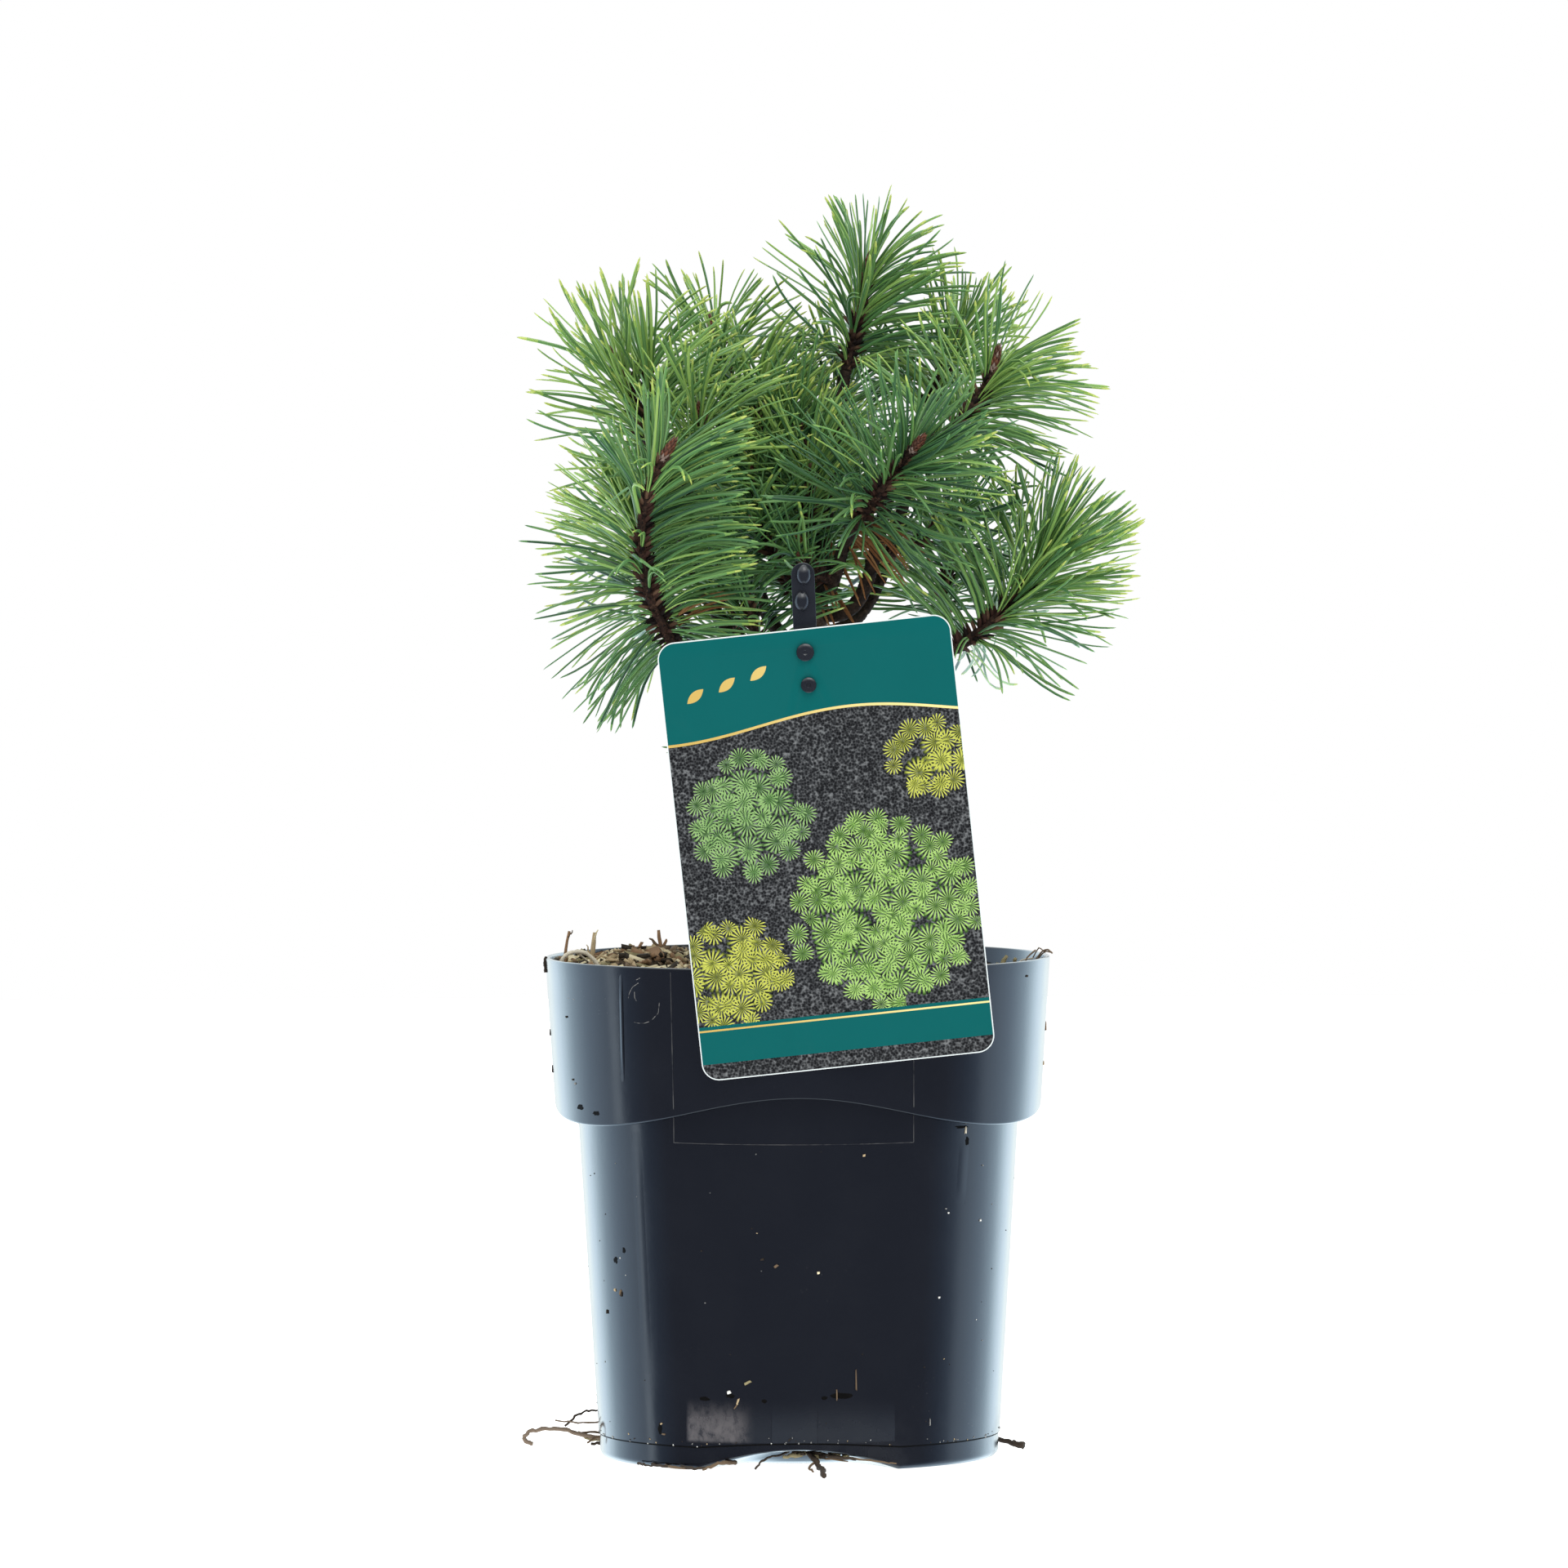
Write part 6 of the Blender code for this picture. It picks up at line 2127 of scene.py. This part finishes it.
# %% [markdown]
# ## Dead needles, crumbs and root ends
# Three small kinds of mess make the plant real. A few old needles hang brown among the boughs.
# Crumbs of soil stick to the pot's wall. Thin roots have found their way out of the drain holes
# and end just outside the foot.

# %% Dead needles
DEAD_NEEDLES = (  # root and tip, in millimetres
    ((24, -28, 352), (43, -30, 334)),
    ((22, -27, 350), (40, -33, 328)),
    ((27, -26, 351), (49, -22, 337)),
    ((12, -4, 345), (24, -26, 322)),
    ((9, -2, 332), (16, -24, 318)),
    ((10, -3, 330), (22, -22, 312)),
    ((8, -4, 334), (-2, -26, 349)),
    ((8, -3, 325), (14, -28, 311)),
    ((-44, -47, 318), (-22, -44, 326)),
    ((-44, -46, 314), (-24, -40, 322)),
    ((10, -1, 338), (34, -12, 341)),
    ((12, -3, 341), (36, -24, 345)),
    ((20, -24, 347), (33, -30, 330)),
    ((18, -23, 345), (29, -31, 326)),
    ((21, -25, 348), (36, -27, 331)),
    ((19, -22, 346), (25, -30, 322)),
)
DEAD_BROWNS = {"dead_brown": (0.200, 0.085, 0.030), "dead_tan": (0.330, 0.170, 0.070)}


def hang_dead_needles():
    dice = random.Random(12)
    heap = Heap()
    for root, tip in DEAD_NEEDLES:
        root, tip = in_mm(root, tip)
        for _ in range(2):
            sag = Vector((dice.uniform(-2.0, 2.0), dice.uniform(-2.0, 2.0), dice.uniform(1.0, 4.0))) * MM
            end = tip + jitter(dice, 1.6) * MM
            curve = (root, root.lerp(end, 0.33) + sag, root.lerp(end, 0.67) + sag, end)
            spots = [bezier(curve, n / 8.0)[0] for n in range(9)]
            radii = [0.62 * MM * w for w in (0.9, 1, 1, 1, 0.95, 0.9, 0.8, 0.6, 0.25)]
            strand(heap, spots, radii, 4, dice.choice((0, 0, 1)))
    make_piece("dead_needles", heap, plain_browns(DEAD_BROWNS))


hang_dead_needles()

# %% Crumbs on the pot
CRUMBS = (  # x and height on the front wall, length and width in millimetres, turn, brown
    (-26.1, 29.5, 1.5, 1, 20, "speck_white"),
    (-19, 33.3, 2.4, 0.8, 25, "chip_olive"),
    (-22.8, 26.2, 2.2, 0.6, 70, "chip_tan"),
    (-23.6, 24.2, 1.8, 0.4, 55, "chip_brown"),
    (13.9, 28.9, 3.6, 0.45, 92, "chip_brown"),
    (21.1, 33.9, 7.4, 0.35, 91, "chip_brown"),
    (-51.4, 16.4, 0.9, 0.5, 30, "chip_tan"),
    (-50.6, 12.6, 1.4, 0.5, 0, "chip_brown"),
    (-8.5, 77, 1.6, 0.9, 40, "chip_brown"),
    (-13.6, 79.5, 1.2, 0.7, 10, "chip_dark"),
    (7.2, 74.4, 0.9, 0.8, 0, "chip_straw"),
    (24.2, 118, 1, 0.8, 0, "chip_tan"),
    (75.7, 128.4, 2.6, 0.9, 60, "chip_brown"),
    (72.9, 127.9, 2, 0.8, 10, "chip_tan"),
    (62.3, 125.6, 2.6, 0.6, 85, "root_pale"),
    (-68.7, 65.2, 1.3, 1, 0, "chip_tan"),
    (-66.6, 64.6, 1.8, 1.1, 60, "chip_brown"),
    (-66.2, 63.9, 1.6, 0.8, 70, "chip_dark"),
    (-71.7, 56.5, 1.4, 0.9, 80, "chip_dark"),
    (-86.5, 167.4, 0.9, 0.7, 0, "chip_dark"),
    (-84.1, 144, 1.2, 0.8, 0, "chip_dark"),
    (-83.2, 142.6, 0.8, 0.6, 30, "speck_grey"),
    (85.5, 182.4, 1, 0.7, 0, "chip_dark"),
    (67.8, 91.2, 0.8, 0.7, 0, "speck_white"),
    (54.8, 96.7, 0.6, 0.5, 0, "speck_grey"),
    (55.7, 95.1, 0.6, 0.5, 0, "speck_white"),
    (52.2, 63.5, 0.8, 0.6, 0, "speck_white"),
    (68.7, 111.8, 0.6, 0.4, 0, "speck_grey"),
    (93.3, 161.5, 3, 0.9, 85, "chip_red"),
    (92.4, 147.5, 1.5, 0.8, 85, "chip_tan"),
    (-93.1, 159.5, 2.2, 0.7, 88, "chip_dark"),
    (-92.3, 146, 2.4, 0.6, 88, "chip_dark"),
    (-82.5, 127.6, 3.6, 0.8, 88, "chip_brown"),
    (48.6, 16.8, 2.8, 0.3, 90, "speck_grey"),
)
SEAM_SPECKS = 150
WALL_SPECKS = 70


print("%d crumbs and %d specks" % (len(CRUMBS), SEAM_SPECKS + WALL_SPECKS))


# %% Stick them on
def stick_crumb(heap, spot, size, turn, brown, dice):
    """A crumb flat on the wall, turned so far from level."""
    out = Vector((spot.x, spot.y, 0.0)).normalized()
    along = spoke(UP.cross(out), UP, turn)
    heap.add(chip_shape(spot, along, out.cross(along), size, dice), CHIP_FACES, TONE[brown])


def stick_crumbs():
    dice = random.Random(17)
    heap = Heap()
    for x, height, long, wide, turn, brown in CRUMBS:
        spot = Vector(wall_point(x * MM, height * MM, 0.12 * MM))
        stick_crumb(heap, spot, (long * MM, wide * MM, 0.5 * MM), radians(turn), brown, dice)
    for number in range(SEAM_SPECKS + WALL_SPECKS):
        angle = dice.uniform(0.0, tau)
        lift = float(arch_lift(np.array(angle), FOOT_RADIUS))
        height = dice.uniform(13.0, 122.0) * MM
        if number < SEAM_SPECKS:
            height = FOOT_SEAM + SEAM_LIFT * lift + abs(dice.gauss(0.0, 1.2)) * MM
        spot = heading(angle) * (body_radius(height) + 0.05 * MM) + UP * height
        size = [dice.uniform(0.2, 0.6) * MM, dice.uniform(0.2, 0.4) * MM, 0.25 * MM]
        brown = dice.choices(("speck_white", "speck_grey", "chip_dark", "chip_tan"), (1, 5, 4, 1))[0]
        stick_crumb(heap, spot, size, dice.uniform(0.0, pi), brown, dice)
    make_piece("pot_crumbs", heap, browns)


stick_crumbs()

# %% Root ends
ROOTS = (  # foot and tip radius, brown, then places along a root, in millimetres
    (0.85, 0.85, "root_grey", (-60, 33, 6.2), (-69, 34, 3.8), (-76.5, 34, 3), (-81.7, 34, 4.2),
     (-89.5, 34, 6.4), (-96.4, 34, 6.6), (-103, 34, 5.5), (-104.6, 34, 3.6), (-103.8, 34, 1.6),
     (-101.2, 34, 0.9)),
    (0.55, 0.45, "chip_brown", (-70, 40, 4), (-78, 36, 5.2), (-84, 34.5, 5), (-90, 34, 6.8)),
    (0.42, 0.48, "root_dark", (-70, 43, 12), (-76, 40, 13), (-81, 38, 12.9), (-85, 35, 11.2),
     (-89, 34, 7.6)),
    (0.44, 0.3, "root_grey", (-68, 42, 8), (-78, 36, 8.6), (-86, 34.5, 9), (-92.6, 34, 9.8)),
    (0.8, 0.5, "chip_olive", (-66, 38, 4), (-74, 36, 1.8), (-80, 35, 2.6), (-84, 35, 5.2)),
    (0.95, 0.6, "root_dark", (-68, 36, 3), (-75, 34, 1.2), (-79, 33, 0.9)),
    (0.55, 0.35, "chip_brown", (-70, 34, 2.6), (-77, 33, 3.4), (-80.5, 31, 1.4)),
    (0.7, 1.2, "root_dark", (58, 33, 5.6), (68, 29, 3.8), (75.6, 21, 3.4), (80.2, 15, 2.4),
     (84.2, 11, 1.6)),
    (1.05, 1.45, "root_dark", (80.8, 13, 2.4), (84.8, 10.6, 1.7)),
    (1.2, 0.95, "root_dark", (2, -60, 6.4), (4, -67, 5.6), (6.2, -72, 3.6), (7.4, -75, 1.6),
     (9, -83, 1.2), (8.4, -94, 1.2), (9, -103, 1)),
    (0.6, 0.45, "chip_brown", (6, -71, 4), (3.6, -76, 1.6), (5, -84, 0.9)),
    (0.46, 0.4, "root_dark", (-4, -62, 6.2), (-10, -69, 5.2), (-14, -72, 4), (-16.6, -73, 0.9)),
    (0.55, 0.28, "chip_brown", (6, -62, 6.2), (14, -70, 5.4), (22, -71.5, 4.4), (30, -72, 3.4),
     (36, -71, 2.6)),
    (1, 0.5, "root_dark", (0, -60, 6.4), (8, -69, 5.8), (16, -72, 5), (21, -72.5, 4.4)),
    (0.8, 0.3, "chip_brown", (2, -61, 6), (10, -70, 4.6), (18, -72, 3.6)),
    (1.1, 0.6, "chip_olive", (4, -60, 6.4), (-1, -69, 5.8), (-6, -72, 5.4)),
    (0.9, 0.5, "chip_brown", (-24, -64, 2.8), (-28, -72, 3.4), (-32, -73, 2.4), (-36, -74, 0.8)),
    (0.55, 0.3, "root_dark", (-60, -46, 0.6), (-58, -51, 0.8), (-55, -55, 0.5)),
    (0.7, 0.34, "root_dark", (-55, -51, 0.5), (-51, -57, 0.7), (-46, -60, 0.4)),
    (0.6, 0.4, "chip_brown", (-50, -56, 0.6), (-46, -63, 0.7), (-41, -66, 0.6)),
    (0.75, 0.45, "root_dark", (-44, -62, 0.6), (-39, -69, 0.8), (-35, -71, 1.2)),
)
CLUMP_COUNT = 20


print("%d root ends" % len(ROOTS))


# %% Grow the root ends
def root_ends():
    dice = random.Random(23)
    heap = Heap()
    for thick, thin, brown, *places in ROOTS:
        spots = in_mm(*places)
        fine = []
        for number in range(len(spots) - 1):
            for step in range(4):
                spot = spots[number].lerp(spots[number + 1], step / 4.0)
                fine.append(spot + jitter(dice, 0.32) * MM)
        fine.append(spots[-1])
        radii = []
        for number, spot in enumerate(fine):
            share = number / (len(fine) - 1)
            radius = blend(thick, thin, share) * MM * dice.uniform(0.8, 1.15)
            radii.append(radius)
            spot.z = max(spot.z, radius + 0.1 * MM)
        strand(heap, fine, radii, 6, TONE[brown])
    for _ in range(CLUMP_COUNT):
        spot = Vector((dice.uniform(-4.0, 19.0), dice.uniform(-71.5, -62.0), dice.uniform(5.0, 6.4))) * MM
        along = heading(dice.uniform(0.0, pi), dice.uniform(-0.3, 0.3)).normalized()
        side = along.cross(UP).normalized()
        size = (dice.uniform(2.0, 4.6) * MM, dice.uniform(0.9, 1.8) * MM, dice.uniform(0.7, 1.4) * MM)
        brown = TONE[dice.choice(("chip_dark", "chip_brown", "root_dark", "chip_olive", "chip_dark"))]
        heap.add(chip_shape(spot, along, side, size, dice), CHIP_FACES, brown)
    make_piece("root_ends", heap, browns)


root_ends()

# %% [markdown]
# ## Sizes
# The dressed plant must stay in the solids' box. Both boxes are printed.

# %% Write the sizes
seen_low, seen_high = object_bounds()
for name, low, high in (("solids", cad_low, cad_high), ("dressed", seen_low, seen_high)):
    print(name, [round(v / MM, 1) for v in low], [round(v / MM, 1) for v in high])
